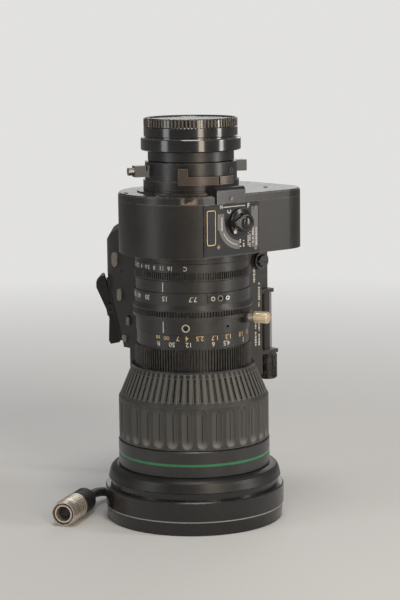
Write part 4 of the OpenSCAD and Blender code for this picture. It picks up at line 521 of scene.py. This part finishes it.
# Sizes in mm. blot: width of the patches. coat: weight and roughness. grain: depth and size.
# scuff: added roughness and size. wear: colour of rubbed edges, their width, and how much is rubbed.
looks = {
    "hoodGloss": dict(
        colour=(0.01, 0.0098, 0.0095), blot=22, rough=0.26, coat=(0.2, 0.2), grain=(0.012, 0.9),
        scuff=(0.2, 9), wear=((0.085, 0.078, 0.068), 0.45, 0.5), extra=ringed(hoodHighlightLine)),
    "adapterSatin": dict(
        colour=(0.011, 0.0107, 0.0102), blot=18, rough=0.4, grain=(0.012, 0.6), scuff=(0.15, 8),
        wear=((0.09, 0.08, 0.068), 0.45, 0.5)),
    "anodisedBlack": dict(
        satin, blot=11, rough=0.33, scuff=(0.12, 5), wear=(rubbedBrown, 0.3, 0.5)),
    "stripedBarrel": dict(
        satin, colour=(0.018, 0.0178, 0.017), blot=15, rough=0.3, scuff=(0.12, 5),
        wear=(rubbedBrown, 0.3, 0.4), extra=ringed(stripe)),
    "macroSatin": dict(
        satin, blot=9, rough=0.31, scuff=(0.1, 5), wear=((0.34, 0.265, 0.21), 0.5, 0.75),
        extra=outside(macroArm)),
    "lockSatin": dict(
        satin, blot=9, rough=0.31, scuff=(0.1, 5), wear=((0.36, 0.36, 0.35), 0.35, 0.8),
        extra=outside(lockArmsReflection)),
    "gripRubber": dict(
        colour=(0.036, 0.0355, 0.033), patch=(0.052, 0.051, 0.047), blot=9, rough=0.5,
        specular=0.45, sheen=0.08, grain=(0.035, 0.45), wear=((0.19, 0.18, 0.162), 0.7, 1.2),
        extra=paintGripLightAndShade),
    "housingPaint": dict(
        colour=(0.015, 0.0138, 0.012), patch=(0.021, 0.018, 0.0155), blot=16, rough=0.35,
        specular=0.6, grain=(0.03, 0.55), scuff=(0.14, 7), wear=(rubbedBrown, 0.5, 0.55)),
    "lidPaint": dict(
        colour=(0.015, 0.0145, 0.014), blot=13, rough=0.3, specular=0.6, grain=(0.02, 0.5),
        scuff=(0.16, 6), wear=((0.22, 0.19, 0.16), 0.5, 0.7), extra=paintLidReflection),
    "blockPaint": dict(
        colour=(0.011, 0.0113, 0.012), blot=9, rough=0.3, coat=(0.35, 0.16), grain=(0.006, 0.4),
        wear=((0.26, 0.26, 0.26), 0.4, 0.6)),
    "drivePaint": dict(
        colour=(0.022, 0.0205, 0.019), patch=(0.032, 0.029, 0.026), blot=18, rough=0.47,
        grain=(0.045, 0.6), scuff=(0.12, 8), wear=((0.15, 0.13, 0.11), 0.6, 0.6)),
    "plateSatin": dict(
        colour=(0.016, 0.017, 0.021), patch=(0.021, 0.022, 0.026), blot=8, rough=0.42,
        specular=0.35, grain=(0.004, 0.25), scuff=(0.1, 5), wear=((0.2, 0.195, 0.19), 0.25, 0.5),
        extra=darkEnd),
    # Its pale edges, rubbed over most of the rim, are partly wear and partly a painted highlight outlining
    # the rim
    "knobGloss": dict(
        colour=(0.008, 0.008, 0.0085), blot=6, rough=0.22, coat=(0.3, 0.12),
        wear=((0.3, 0.29, 0.27), 0.35, 0.9)),
    "knobBlack": dict(
        colour=(0.011, 0.011, 0.0115), blot=6, rough=0.3, coat=(0.25, 0.1), grain=(0.005, 0.3),
        wear=((0.22, 0.2, 0.18), 0.4, 0.5)),
    "capGloss": dict(
        colour=(0.013, 0.0128, 0.0128), blot=12, rough=0.2, coat=(1.0, 0.1), grain=(0.008, 0.7),
        scuff=(0.12, 5), wear=((0.2, 0.18, 0.155), 0.35, 0.7), dullAbove=capRibShadeAndHighlight["high"],
        extra=paintCapRibShadeAndHighlight),
    "warmSteel": dict(
        colour=(0.47, 0.44, 0.39), patch=(0.56, 0.53, 0.48), blot=4, rough=0.3, metal=1.0,
        grain=(0.006, 0.2), scuff=(0.12, 5)),
    "darkSteel": dict(
        colour=(0.09, 0.087, 0.083), blot=6, rough=0.36, metal=0.8, grain=(0.005, 0.25),
        wear=((0.4, 0.37, 0.33), 0.25, 0.5)),
    "screwSteel": dict(
        colour=(0.16, 0.125, 0.1), patch=(0.2, 0.16, 0.13), blot=6, rough=0.36, metal=0.6,
        wear=((0.42, 0.36, 0.3), 0.25, 0.5), extra=ringed(bush)),
    "brassLever": dict(
        colour=(0.8, 0.74, 0.66), patch=(0.86, 0.8, 0.72), blot=3, rough=0.34, metal=0.7,
        grain=(0.004, 0.2), scuff=(0.1, 5), wear=((0.92, 0.82, 0.66), 0.25, 0.9),
        extra=outside(leverKnob)),
    "gearBrass": dict(
        colour=(0.62, 0.47, 0.22), patch=(0.7, 0.54, 0.27), blot=5, rough=0.34, metal=1.0,
        grain=(0.004, 0.25)),
    "plugNickel": dict(
        colour=(0.64, 0.57, 0.48), patch=(0.72, 0.65, 0.56), blot=5, rough=0.34, metal=0.7,
        grain=(0.004, 0.3), scuff=(0.1, 2.5), wear=((0.8, 0.75, 0.66), 0.3, 0.9)),
    "plugBlack": dict(colour=(0.014, 0.014, 0.0145), blot=3, rough=0.5, grain=(0.01, 0.3)),
    "bootRubber": dict(colour=(0.019, 0.0185, 0.018), blot=5, rough=0.6, grain=(0.02, 0.4)),
    "leadJacket": dict(colour=(0.018, 0.0175, 0.017), blot=12, rough=0.52, grain=(0.015, 0.5)),
    "buttonGrey": dict(
        colour=(0.21, 0.185, 0.15), patch=(0.26, 0.23, 0.19), blot=4, rough=0.42,
        grain=(0.004, 0.3)),
    "rockerBlack": dict(
        colour=(0.019, 0.0185, 0.018), blot=9, rough=0.52, grain=(0.03, 0.4),
        wear=((0.09, 0.085, 0.08), 0.6, 0.7)),
    "boardGreen": dict(colour=(0.02, 0.11, 0.045), blot=6, rough=0.35, coat=(0.3, 0.1)),
    "bladeBlack": dict(colour=(0.014, 0.014, 0.014), blot=5, rough=0.33, metal=0.3),
    "webbing": dict(
        colour=(0.014, 0.0138, 0.0135), patch=(0.018, 0.018, 0.0175), blot=10, rough=0.75,
        sheen=0.25, grain=(0.03, 0.5), extra=woven),
    "padLeather": dict(
        colour=(0.016, 0.0155, 0.015), patch=(0.024, 0.022, 0.02), blot=11, rough=0.5, sheen=0.1,
        grain=(0.09, 1.3), wear=((0.06, 0.055, 0.048), 0.5, 0.7)),
    "thread": dict(colour=(0.3, 0.29, 0.27), blot=3, rough=0.7, sheen=0.2),
    "frameGold": dict(colour=(0.52, 0.36, 0.14), blot=3, rough=0.4, metal=1.0, grain=(0.003, 0.2)),
}
made.update((name, finish(name, **look)) for name, look in looks.items())


def coatedGlass(name, tint, film):
    # Clear optical glass, tinted, with clouds of a thin coloured film on its face.
    material, tree, shader, place = newMaterial(name)
    cloud = ramp(tree, noise(tree, place, 30), 0.3, 0.7)
    feed(tree, shader, {"Base Color": mixColour(tree, cloud, rgba(tint), rgba(film)), "Roughness": 0.03,
                        "IOR": 1.62, "Transmission Weight": 0.9, "Coat Weight": 0.6,
                        "Coat Roughness": 0.02})
    return material


def ink(name, colour, rough=0.5, share=0.85):
    # Paint in engraved marks, a little dirty: share of the colour where the noise is high.
    material, tree, shader, place = newMaterial(name)
    dirt = ramp(tree, noise(tree, place, 0.8, 5.0), 0.4, 0.75)
    dirty = rgba([c * share for c in colour])
    feed(tree, shader, {"Base Color": mixColour(tree, dirt, rgba(colour), dirty), "Roughness": rough})
    return material


made["lensGlass"] = coatedGlass("lensGlass", (0.75, 0.86, 0.82), (0.82, 0.78, 0.90))
made["rearGlass"] = coatedGlass("rearGlass", (0.88, 0.80, 0.62), (0.80, 0.86, 0.74))
made["inkWhite"] = ink("inkWhite", (0.66, 0.64, 0.58))
made["inkYellow"] = ink("inkYellow", (0.68, 0.50, 0.22))
made["inkGrey"] = ink("inkGrey", (0.17, 0.172, 0.175))
made["inkBright"] = ink("inkBright", (0.80, 0.76, 0.70), rough=0.35)

finishes = {
    "hoodGloss": "hood",
    "adapterSatin": "hood_adapter",
    "stripedBarrel": "front_barrel",
    "gripRubber": "focus_grip",
    "anodisedBlack": "front_retainer focus_ring focus_cell main_barrel focus_index_ring zoom_index_ring"
                     " zoom_ring zoom_cam_tube variator_cell compensator_cell iris_ring"
                     " extender_turret rear_tube rear_mount",
    "macroSatin": "macro_ring",
    "lockSatin": "flange_back_ring",
    "housingPaint": "extender_housing",
    "lidPaint": "extender_lid",
    "blockPaint": "lid_block",
    "plateSatin": "control_plate",
    "knobBlack": "servo_knob speed_knob zoom_plate",
    "knobGloss": "extender_knob",
    "capGloss": "rear_cap",
    "warmSteel": "guide_rods lock_screw zoom_motor iris_motor",
    "darkSteel": "strap_brackets cable_gland",
    "screwSteel": "cover_screws",
    "brassLever": "zoom_lever",
    "gearBrass": "zoom_drive_gear iris_drive_gear",
    "plugNickel": "plug_shell",
    "plugBlack": "plug_insert",
    "bootRubber": "plug_boot",
    "drivePaint": "drive_case drive_cover",
    "buttonGrey": "return_button record_button iris_button iris_switch",
    "rockerBlack": "zoom_rocker",
    "boardGreen": "circuit_board",
    "bladeBlack": "iris_blades",
    "lensGlass": "front_lens inner_lenses focus_lens variator_lens compensator_lens",
    "rearGlass": "extender_lens",
    "webbing": "hand_strap",
    "padLeather": "strap_pad",
    "leadJacket": "lead",
}
for finishName, members in finishes.items():
    for member in members.split():
        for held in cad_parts[member].material_slots:
            held.material = made[finishName]
print("materials made")


leadPath = leadLine(leadRoute)
leadPiece = makePiece("leadCable", [sweep(leadPath, leadRoute["diameter"] / 2, leadRoute["sides"])],
                      "leadJacket", smooth=60)
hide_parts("lead")
print("lead made")


# Dial marks: texts and lines, each just proud of its ring
irisMarks = {
    "radius": 36.0,
    "numbersAt": 163.1,
    "height": 2.7,
    "numbers": [("C", -7.3), ("16", -22.5), ("11", -31.8), ("8", -40.9), ("5.6", -50.7),
                ("4", -60.5), ("2.8", -70.5), ("2.2", -80.5)],
}
zoomMarks = {
    "radius": 36.5,
    "numbersAt": 144.3,
    "height": 3.1,
    "numbers": [("7.7", 0.0), ("15", -28.2), ("30", -50.4), ("60", -66.0), ("100", -78.0),
                ("128", -89.0)],
}
focusMarks = {
    "radius": 35.5,
    "metresAt": 119.7,
    "feetAt": 115.8,
    "height": 3.0,
    "metres": [("m", -38.0), ("7", -15.6), ("4", -6.5), ("2.5", 6.5), ("1.7", 22.4), ("1.3", 38.0),
               ("1.0", 57.3), (".8", 73.0)],
    "feet": [("ft", -37.4), ("50", -21.9), ("12", -4.5), ("6", 20.3), ("4.5", 35.5), ("3", 62.0)],
    "farAt": -27.9,
    "far": {"half": 1.75, "tall": 1.5, "steps": 48, "cord": (0.2, 0.11), "sides": 6},
}
indexMarks = {
    "radius": 36.0,
    "azimuth": -160.6,
    "width": 0.62,
    "thick": 0.2,
    "sink": 0.15,
    "steps": 2,
    "spans": [(lowest("focus_index_ring") + 1.0, highest("focus_index_ring") - 0.5),
              (lowest("zoom_index_ring") + 0.6, highest("zoom_index_ring") - 0.6)],
}


def farSign(marks):
    # The sign for far away: x = a cos t / (1 + sin^2 t), y = x sin t, as a round cord laid on the ring.
    look = marks["far"]
    t = np.linspace(0, 2 * np.pi, look["steps"], endpoint=False)
    across = look["half"] * np.cos(t) / (1 + np.sin(t) ** 2)
    up = across * np.sin(t) * look["tall"]
    line = onCylinder(across, up, 0.0, marks["radius"], viewAzimuth + marks["farAt"], marks["metresAt"])
    ahead = np.roll(line, -1, axis=0) - np.roll(line, 1, axis=0)
    ahead /= np.linalg.norm(ahead, axis=1)[:, None]
    outward = line * [1, 1, 0] / np.linalg.norm(line * [1, 1, 0], axis=1)[:, None]
    side = np.cross(ahead, outward)
    a = np.linspace(0, 2 * np.pi, look["sides"], endpoint=False)[None, :, None]
    wide, tall = look["cord"]
    skin = line[:, None] + wide * np.cos(a) * side[:, None] + tall * np.sin(a) * outward[:, None]
    return hoop(skin)


def indexLine(look, low, high):
    # A thin bar on a cylinder: across runs -width/2..width/2, up runs low..high, out -sink..thick-sink.
    across = np.linspace(-look["width"] / 2, look["width"] / 2, look["steps"] + 1)
    loop = np.concatenate([across, across[::-1]])
    out = np.repeat([look["thick"] - look["sink"], -look["sink"]], len(across))
    return tube(np.stack([onCylinder(loop, z, out, look["radius"], look["azimuth"], 0.0)
                          for z in (low, high)]))


dialRows = [("irisNumbers", irisMarks, "numbers", "inkWhite", "iris"),
            ("zoomNumbers", zoomMarks, "numbers", "inkWhite", "zoom"),
            ("focusFeet", focusMarks, "feet", "inkWhite", "focus"),
            ("focusMetres", focusMarks, "metres", "inkYellow", "focus")]


def dialMarks():
    # Numbers on the turning rings, and the two lines that stay where they are.
    for name, marks, row, colour, ring in dialRows:
        parts = dialWords(marks[row], marks["height"], marks["radius"], marks[row + "At"])
        if row == "metres":
            parts.append(farSign(marks))
        makePiece(name, parts, colour, ring + "_group", smooth=0)
    makePiece("indexLines", [indexLine(indexMarks, *span) for span in indexMarks["spans"]],
              "inkWhite", smooth=0)


# The zoom plate's screws and threaded hole: steps to the side, inner and outer radius, thickness
screwRings = {"radius": 37.45, "z": 144.5, "azimuth": -103.0, "pitch": 5.0, "sink": 0.1, "steps": 28,
              "rings": [(-1, 0.7, 1.45, 0.7), (0, 1.42, 1.8, 0.3), (1, 0.7, 1.45, 0.7)]}


def plateScrews(look):
    # Rings wrapped on the zoom plate: across = r cos a, up = r sin a, for two radii.
    a = np.linspace(0, 2 * np.pi, look["steps"], endpoint=False)
    parts = []
    for spot, inner, outer, thick in look["rings"]:
        turn = look["azimuth"] + math.degrees(spot * look["pitch"] / look["radius"])
        section = ((inner, -look["sink"]), (outer, -look["sink"]), (outer, thick), (inner, thick))
        loops = [onCylinder(r * np.cos(a), r * np.sin(a), out, look["radius"], turn, look["z"])
                 for r, out in section]
        parts.append(hoop(np.stack(loops, axis=1)))
    makePiece("plateScrewRings", parts, "warmSteel", "zoom_group", smooth=30)


dialMarks()
plateScrews(screwRings)
print("dial marks made")


# Control plate: a printed band round the knob, lines, rows of plain marks and a bare gold frame
plateMarks = {
    "face": -40.3,
    "centre": (4.6, 191.7),
    "band": (12.1, 17.4, 178.0, 269.0),  # inner and outer radius, from and to degrees
    "label": ((-10.6, 192.0), (5.3, 9.8)),  # the band's straight end: middle and size
    "strip": ((17.0, 187.3), (5.4, 25.2)),  # the paler strip along the right end
    "line": (14.4, 14.9, 207.0, 262.0),
    "topLine": ((0.4, 200.9), (17.6, 0.5)),
    "hook": ((-3.9, 198.3), 0.85, 1.55, 150, 390),
    "letters": [("N", (-10.1, 201.2), 2.3), ("F", (11.9, 200.6), 2.9)],
    # rows of marks: first count, columns, lowest and highest, x and pitch
    "rows": [(3, 1, 186.5, 195.2, -9.8, 1.9), (11, 1, 174.4, 179.6, 5.0, 1.7),
             (19, 1, 175.4, 179.2, 7.8, 1.9), (5, 2, 174.9, 184.7, 11.5, 1.5),
             (8, 1, 174.9, 186.4, 15.4, 1.8), (14, 1, 174.9, 186.4, 18.2, 1.8)],
    "mix": (29, 17, 97),
    "tall": (0.45, 0.55, 7),
    "gap": 0.34,
    "leftOut": 5,
    "width": 0.62,  # a mark's width over the pitch
}
badgeFrame = {"face": -40.75, "centre": (-18.65, 188.95), "half": (3.3, 10.5), "corner": 1.3,
              "line": 0.46, "thick": 0.25}


def wornMarks(look, count, low, high):
    # Short marks up a column, as worn print: count = (count a + b) mod c, tall = d + e (count mod f) / (f-1).
    up = low
    least, more, kinds = look["tall"]
    while up < high:
        count = (count * look["mix"][0] + look["mix"][1]) % look["mix"][2]
        tall = least + more * (count % kinds) / (kinds - 1)
        yield count, up + tall / 2, tall
        up += tall + look["gap"]


def markRows(look):
    # A bar for each mark, but for those whose count, with 3 more a column, leftOut divides.
    return [flatBar((x + column * pitch, middle), (pitch * look["width"], tall), look["face"])
            for first, columns, low, high, x, pitch in look["rows"]
            for count, middle, tall in wornMarks(look, first, low, high)
            for column in range(columns) if (count + column * 3) % look["leftOut"]]


def plateGraphics(look):
    # Grey band, label and strip, with white lines, letters and marks on top.
    face = look["face"]
    grey = [flatArc(look["centre"], *look["band"], face, thick=0.1, sink=0.04),
            flatBar(*look["label"], face, thick=0.13, sink=0.04),
            flatBar(*look["strip"], face, thick=0.1, sink=0.04)]
    makePiece("plateBand", grey, "inkGrey", smooth=30)
    white = [flatArc(look["centre"], *look["line"], face), flatBar(*look["topLine"], face)]
    for words, spot, height in look["letters"]:
        across, up, out, cells = textParts(words, height, bold=0.03)
        white.append((stacked(spot[0] + across, face - out, spot[1] + up), cells))
    white += [flatArc(*look["hook"], face)] + markRows(look)
    makePiece("plateMarks", white, "inkWhite", smooth=30)


def goldFrame(look):
    # A rounded rectangle's line: inner and outer loops of corner arcs, given a thickness.
    turn = np.radians(np.arange(0, 360, 10))
    centreX = look["centre"][0] + np.sign(np.cos(turn + 1e-6)) * (look["half"][0] - look["corner"])
    centreZ = look["centre"][1] + np.sign(np.sin(turn + 1e-6)) * (look["half"][1] - look["corner"])
    inner, far = look["corner"] - look["line"] / 2, look["face"] + look["thick"]
    outer = inner + look["line"]
    loops = [stacked(centreX + r * np.cos(turn), y, centreZ + r * np.sin(turn))
             for r, y in ((inner, look["face"]), (outer, look["face"]), (outer, far), (inner, far))]
    makePiece("badgeFrame", [hoop(np.stack(loops, axis=1))], "frameGold", smooth=30)


plateGraphics(plateMarks)
goldFrame(badgeFrame)
print("control plate marked")


# Extender knob: a disc with a white dot, a teardrop head with a raised rim, and a domed cap
knobShape = {
    "axis": (5.0, 190.8),
    "face": -40.6,
    "steps": 72,
    # rows of each solid: how far out from the face, and the radius there
    "disc": [(0.0, 8.45), (0.15, 8.6), (1.2, 8.6), (1.4, 8.35)],
    "dome": [(6.45, 4.5), (7.0, 4.365), (7.6, 3.87), (8.05, 2.97), (8.32, 1.71), (8.4, 0.45)],
    "dot": [(1.3, 1.35), (1.55, 1.35), (1.65, 1.08)],
    "dotAt": (-5.4, -5.3),
    "headRadius": 6.0,
    "tipRadius": 1.5,
    "tipAt": 8.75,
    "thinnest": 0.12,
    # rows of the teardrop: how far out from the face, and how far its outline is drawn in
    "head": [(1.4, 0.0), (5.9, 0.25), (6.5, 0.45), (6.85, 0.95), (6.85, 1.25), (6.45, 1.55)],
}


def circles(a, rows, x=0.0, z=0.0):
    # Loops x + r cos a, z + r sin a, each with its distance out from the face.
    return [(x + r * np.cos(a), z + r * np.sin(a), out) for out, r in rows]


def teardrop(look, a, drawnIn):
    # Support points of two circles' hull: the head's (R cos a, R sin a) or the tip's, whichever is further.
    head, tip = look["headRadius"] - drawnIn, max(look["tipRadius"] - drawnIn, look["thinnest"])
    onTip = -look["tipAt"] * np.cos(a) + tip > head
    x = np.where(onTip, -look["tipAt"] + tip * np.cos(a), head * np.cos(a))
    return x, np.where(onTip, tip, head) * np.sin(a)


def ringSolid(look, rings):
    # Loops stacked outwards from the plate, closed by a flat face at each end: y = face - out.
    (x0, z0), face = look["axis"], look["face"]
    return tube(np.stack([stacked(x0 + x, face - out, z0 + z) for x, z, out in rings]))


def makeKnob(look):
    # Disc, teardrop head and dome as one piece, the dot as another.
    a = np.linspace(0, 2 * np.pi, look["steps"], endpoint=False)
    head = [(*teardrop(look, a, drawnIn), out) for out, drawnIn in look["head"]]
    solids = [ringSolid(look, rings) for rings in (circles(a, look["disc"]), head, circles(a, look["dome"]))]
    knob = makePiece("knobHead", solids, "knobGloss", "extender_knob_body", smooth=50)
    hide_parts("extender_knob")
    dot = circles(a[::3], look["dot"], *look["dotAt"])
    makePiece("knobDot", [ringSolid(look, dot)], "inkBright", "extender_knob_body")


makeKnob(knobShape)
print("extender knob made")


# Hand strap: webbing bowed between the brackets, and its crowned pad, both in the strap's own arc
strapShape = {
    "middle": (44.5, 80.89, 141.5),  # x of its middle, y and z of the arc's centre
    "radius": 40.21,
    "halfTurn": 55.8,
    "arcSteps": 65,
    "tabFrom": 103.2,
    "tabY": 104.9,
    "tabGap": 0.8,
    "tabSteps": 6,
    "width": 22.9,
    "thick": 1.7,
    "soften": 4,
    # from edge to edge: place across over the half width, and thickness there over the whole
    "across": (-1, -0.97, -0.9, -0.84, -0.5, 0, 0.5, 0.84, 0.9, 0.97, 1),
    "swell": (0.55, 0.9, 1, 0.84, 0.8, 0.8, 0.8, 0.84, 1, 0.9, 0.55),
}
stitch = {"rows": (0.9, 7.4), "each": 8, "pitch": 1.2, "size": (0.75, 0.34), "thick": 0.3,
          "proud": 0.16}
padShape = {
    "seam": 37.75,
    "halfTurn": 36.0,
    "width": 25.8,
    "back": 1.35,
    "edge": 1.0,
    "crown": 2.3,
    "waist": 0.05,
    "rows": 96,
    "columns": 40,
    "crownFall": 0.45,  # how much lower the crown is at its sides
    "endCurve": 0.03,
    "channels": (-0.42, 0.42),
    "channelWidth": 0.022,
    "channelDepth": 0.5,
    "crease": 0.12,
    "creaseWaves": (19, 4, 7, 2.3),
}


def strapLine(look):
    # Tab, arc (y = cy + r cos a, z = cz + r sin a), tab; then each point is the mean of its neighbours.
    cy, cz = look["middle"][1:]
    a = np.radians(np.linspace(-look["halfTurn"], look["halfTurn"], look["arcSteps"]))
    arc = np.stack([cy + look["radius"] * np.cos(a), cz + look["radius"] * np.sin(a)], axis=-1)
    up = np.linspace(look["tabFrom"], arc[0, 1] - look["tabGap"], look["tabSteps"])
    tab = np.stack([np.full(len(up), look["tabY"]), up], axis=-1)
    line = np.concatenate([tab, arc, tab[::-1] * [1, -1] + [0, 2 * cz]])
    for _ in range(look["soften"]):
        line[1:-1] = (line[:-2] + line[1:-1] + line[2:]) / 3
    return line


def makeStrap(look):
    # Webbing: across x, its face a little hollow between two thicker selvedges.
    line = strapLine(look)
    along = np.gradient(line, axis=0)
    along /= np.linalg.norm(along, axis=1)[:, None]
    out = np.stack([along[:, 1], -along[:, 0]], axis=-1)
    across = np.concatenate([look["across"], look["across"][::-1]]) * look["width"] / 2
    swell = np.array(look["swell"]) * look["thick"] / 2
    lift = np.concatenate([swell, -swell])
    flat = line[:, None] + lift[None, :, None] * out[:, None]
    points = stacked(look["middle"][0] + across, flat[..., 0], flat[..., 1])
    strap = makePiece("strapWebbing", [tube(points)], "webbing", smooth=50)
    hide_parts("hand_strap")


def sewStrap(look, thread):
    # Two rows of short threads across each end of the strap, above its outer face.
    x, z = look["middle"][::2]
    face = look["tabY"] + look["thick"] / 2 + thread["proud"]
    stitches = [flatBar((x + step * thread["pitch"], z + end * (look["tabFrom"] + row - z)),
                        thread["size"], face, thick=thread["thick"], sink=0.0)
                for end in (1, -1) for row in thread["rows"]
                for step in range(-thread["each"], thread["each"] + 1)]
    makePiece("strapStitches", stitches, "thread", smooth=0)


def makePad(look, strap):
    # Crowned pad: u runs round the arc, v across; full = (1-u^6)^.5 (1-v^6)^.5 and the inner face is
    # r = seam - full (edge + crown) - creases, with a valley in the crown at each sewn channel. The
    # creases are sin(a u + b v^2) sin(c v + d).
    u = np.linspace(-1, 1, look["rows"])[:, None]
    v = np.linspace(-1, 1, look["columns"])[None, :]
    full = np.sqrt(np.clip(1 - u ** 6, 0, 1)) * np.sqrt(np.clip(1 - v ** 6, 0, 1))
    sewn = sum(np.exp(-((u - channel) / look["channelWidth"]) ** 2) for channel in look["channels"])
    along, bend, across, shift = look["creaseWaves"]
    creases = look["crease"] * np.sin(along * u + bend * v ** 2) * np.sin(across * v + shift) * full
    crown = look["crown"] * (1 - look["crownFall"] * v ** 2) * (1 - look["channelDepth"] * sewn)
    inner = look["seam"] - full * (look["edge"] + crown) - creases
    outer = look["seam"] + look["back"] * full
    turn = np.radians(look["halfTurn"]) * u * (1 - look["endCurve"] * v ** 4)
    half = look["width"] / 2 * (1 - look["waist"] * (1 - u ** 4))
    x, y, z = strap["middle"]
    points = np.concatenate([stacked(x + half * v, y + reach * np.cos(turn),
                                     z + reach * np.sin(turn)).reshape(-1, 3)
                             for reach in (outer, inner)])
    cells = np.array(gridCells(look["rows"], look["columns"]))
    size = look["rows"] * look["columns"]
    pad = makePiece("padCushion", [(points, np.concatenate([cells, cells[:, ::-1] + size]).tolist())],
                    "padLeather", smooth=70)
    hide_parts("strap_pad")


makeStrap(strapShape)
sewStrap(strapShape, stitch)
makePad(padShape, strapShape)
print("hand strap and pad made")


# Drive unit: rows of plain marks on its near face and a thin wire between its two lugs
driveMarks = {
    "face": -8.0,
    # columns of marks: x, lowest, highest, width
    "columns": [(46.2, 104.5, 120.0, 1.5), (49.2, 104.5, 132.5, 1.5), (49.4, 134.0, 145.0, 1.9),
                (45.2, 146.0, 156.5, 1.9)],
    "mix": (31, 7, 101),
    "tall": (0.5, 0.9, 5),
    "gap": 0.45,
    "leftOut": 6,
    "widths": (0.6, 0.8, 1.0),  # of a mark, over its column's
    "wire": {"x": 59.2, "y": -8.6, "low": 101.6, "high": 138.2, "radius": 0.35, "sides": 10},
}


def driveGraphics(look):
    # Marks of three widths, without those whose count leftOut divides, and the wire as a straight tube.
    widths = look["widths"]
    bars = [flatBar((x, middle), (wide * widths[count % len(widths)], tall), look["face"])
            for x, low, high, wide in look["columns"]
            for count, middle, tall in wornMarks(look, int(x * 10), low, high)
            if count % look["leftOut"]]
    makePiece("driveMarks", bars, "inkWhite", smooth=0)
    wire = look["wire"]
    line = stacked(wire["x"], wire["y"], [wire["low"], wire["high"]])
    makePiece("driveWire", [sweep(line, wire["radius"], wire["sides"])], "darkSteel",
              smooth=60)


driveGraphics(driveMarks)
print("drive unit marked")


# Floor, backdrop and lights
stageLook = {
    "floorColour": (0.74, 0.735, 0.725),
    "floorSize": 40.0,
    "floorRough": 0.9,
    "farFrom": 0.34,
    "farTo": 1.1,
    "skyColour": (0.76, 0.755, 0.745),
    "skyFill": 0.25,
}
lamps = {
    "warmWindow": dict(turn=24, distance=1.3, height=0.55, aim=0.14, size=(0.30, 1.0), power=6.6,
                       colour=(1.0, 0.86, 0.70)),
    "sideWindow": dict(turn=74, distance=1.2, height=0.45, aim=0.14, size=(0.22, 0.9), power=4.8,
                       colour=(1.0, 0.97, 0.93)),
    "leftFill": dict(turn=-62, distance=1.4, height=0.5, aim=0.12, size=(0.4, 1.0), power=3.4,
                     colour=(0.94, 0.97, 1.0)),
    "backFill": dict(turn=170, distance=1.5, height=0.8, aim=0.12, size=(0.9, 0.9), power=4.0,
                     colour=(1.0, 1.0, 1.0)),
    "topSoft": dict(turn=10, distance=0.25, height=1.5, aim=0.1, size=(0.55, 0.55), power=6.0,
                    colour=(1.0, 0.98, 0.95)),
}


def makeFloor(look):
    # A square floor whose far parts fade into the backdrop's colour for the camera.
    half = look["floorSize"] / 2
    mesh = bpy.data.meshes.new("floor")
    mesh.from_pydata([(-half, -half, 0), (half, -half, 0), (half, half, 0), (-half, half, 0)], [],
                     [(0, 1, 2, 3)])
    material, tree, shader, place = newMaterial("floorPaper")
    feed(tree, shader, {"Base Color": rgba(look["floorColour"]), "Roughness": look["floorRough"]})
    away = put(tree, "VectorMath", {0: place}, operation="LENGTH").outputs["Value"]
    far = ramp(tree, away, look["farFrom"], look["farTo"])
    fade = times(tree, far, put(tree, "LightPath").outputs["Is Camera Ray"])
    pale = put(tree, "Emission", {"Color": rgba(look["skyColour"]), "Strength": 1.0})
    mixed = put(tree, "MixShader", {0: fade, 1: shader.outputs[0], 2: pale.outputs[0]})
    feed(tree, tree.nodes["Material Output"], {"Surface": mixed.outputs[0]})
    mesh.materials.append(material)
    floor = addObject("floor", mesh)


def makeBackdrop(look):
    # A pale world: full strength where the camera or clear glass sees it, weaker as a light.
    world = bpy.data.worlds.new("studio")
    bpy.context.scene.world = world
    world.use_nodes = True
    tree = world.node_tree
    tree.nodes.clear()
    fill, seen = (put(tree, "Background", {"Color": rgba(look["skyColour"]), "Strength": strength})
                  for strength in (look["skyFill"], 1.0))
    path = put(tree, "LightPath").outputs
    either = maths(tree, "MAXIMUM", path["Is Camera Ray"], path["Is Transmission Ray"])
    mixed = put(tree, "MixShader", {0: either, 1: fill.outputs[0], 2: seen.outputs[0]})
    put(tree, "OutputWorld", {"Surface": mixed.outputs[0]})


def makeLamps(settings):
    # Each lamp stands turn degrees from the camera round the axis and looks at its aim's height.
    for name, lamp in settings.items():
        data = bpy.data.lights.new(name, "AREA")
        data.shape = "RECTANGLE"
        data.size, data.size_y = lamp["size"]
        data.energy = lamp["power"]
        data.color = lamp["colour"]
        turn = math.radians(cameraPlace["towards"] + lamp["turn"])
        spot = Vector((math.cos(turn), math.sin(turn), 0)) * lamp["distance"]
        spot.z = lamp["height"]
        aim = Vector((0, 0, lamp["aim"])) - spot
        light = addObject(name, data)
        light.matrix_world = Matrix.Translation(spot) @ aim.to_track_quat("-Z", "Y").to_matrix().to_4x4()


makeFloor(stageLook)
makeBackdrop(stageLook)
makeLamps(lamps)
bpy.context.scene.view_settings.view_transform = "Standard"
print("stage and lights made")
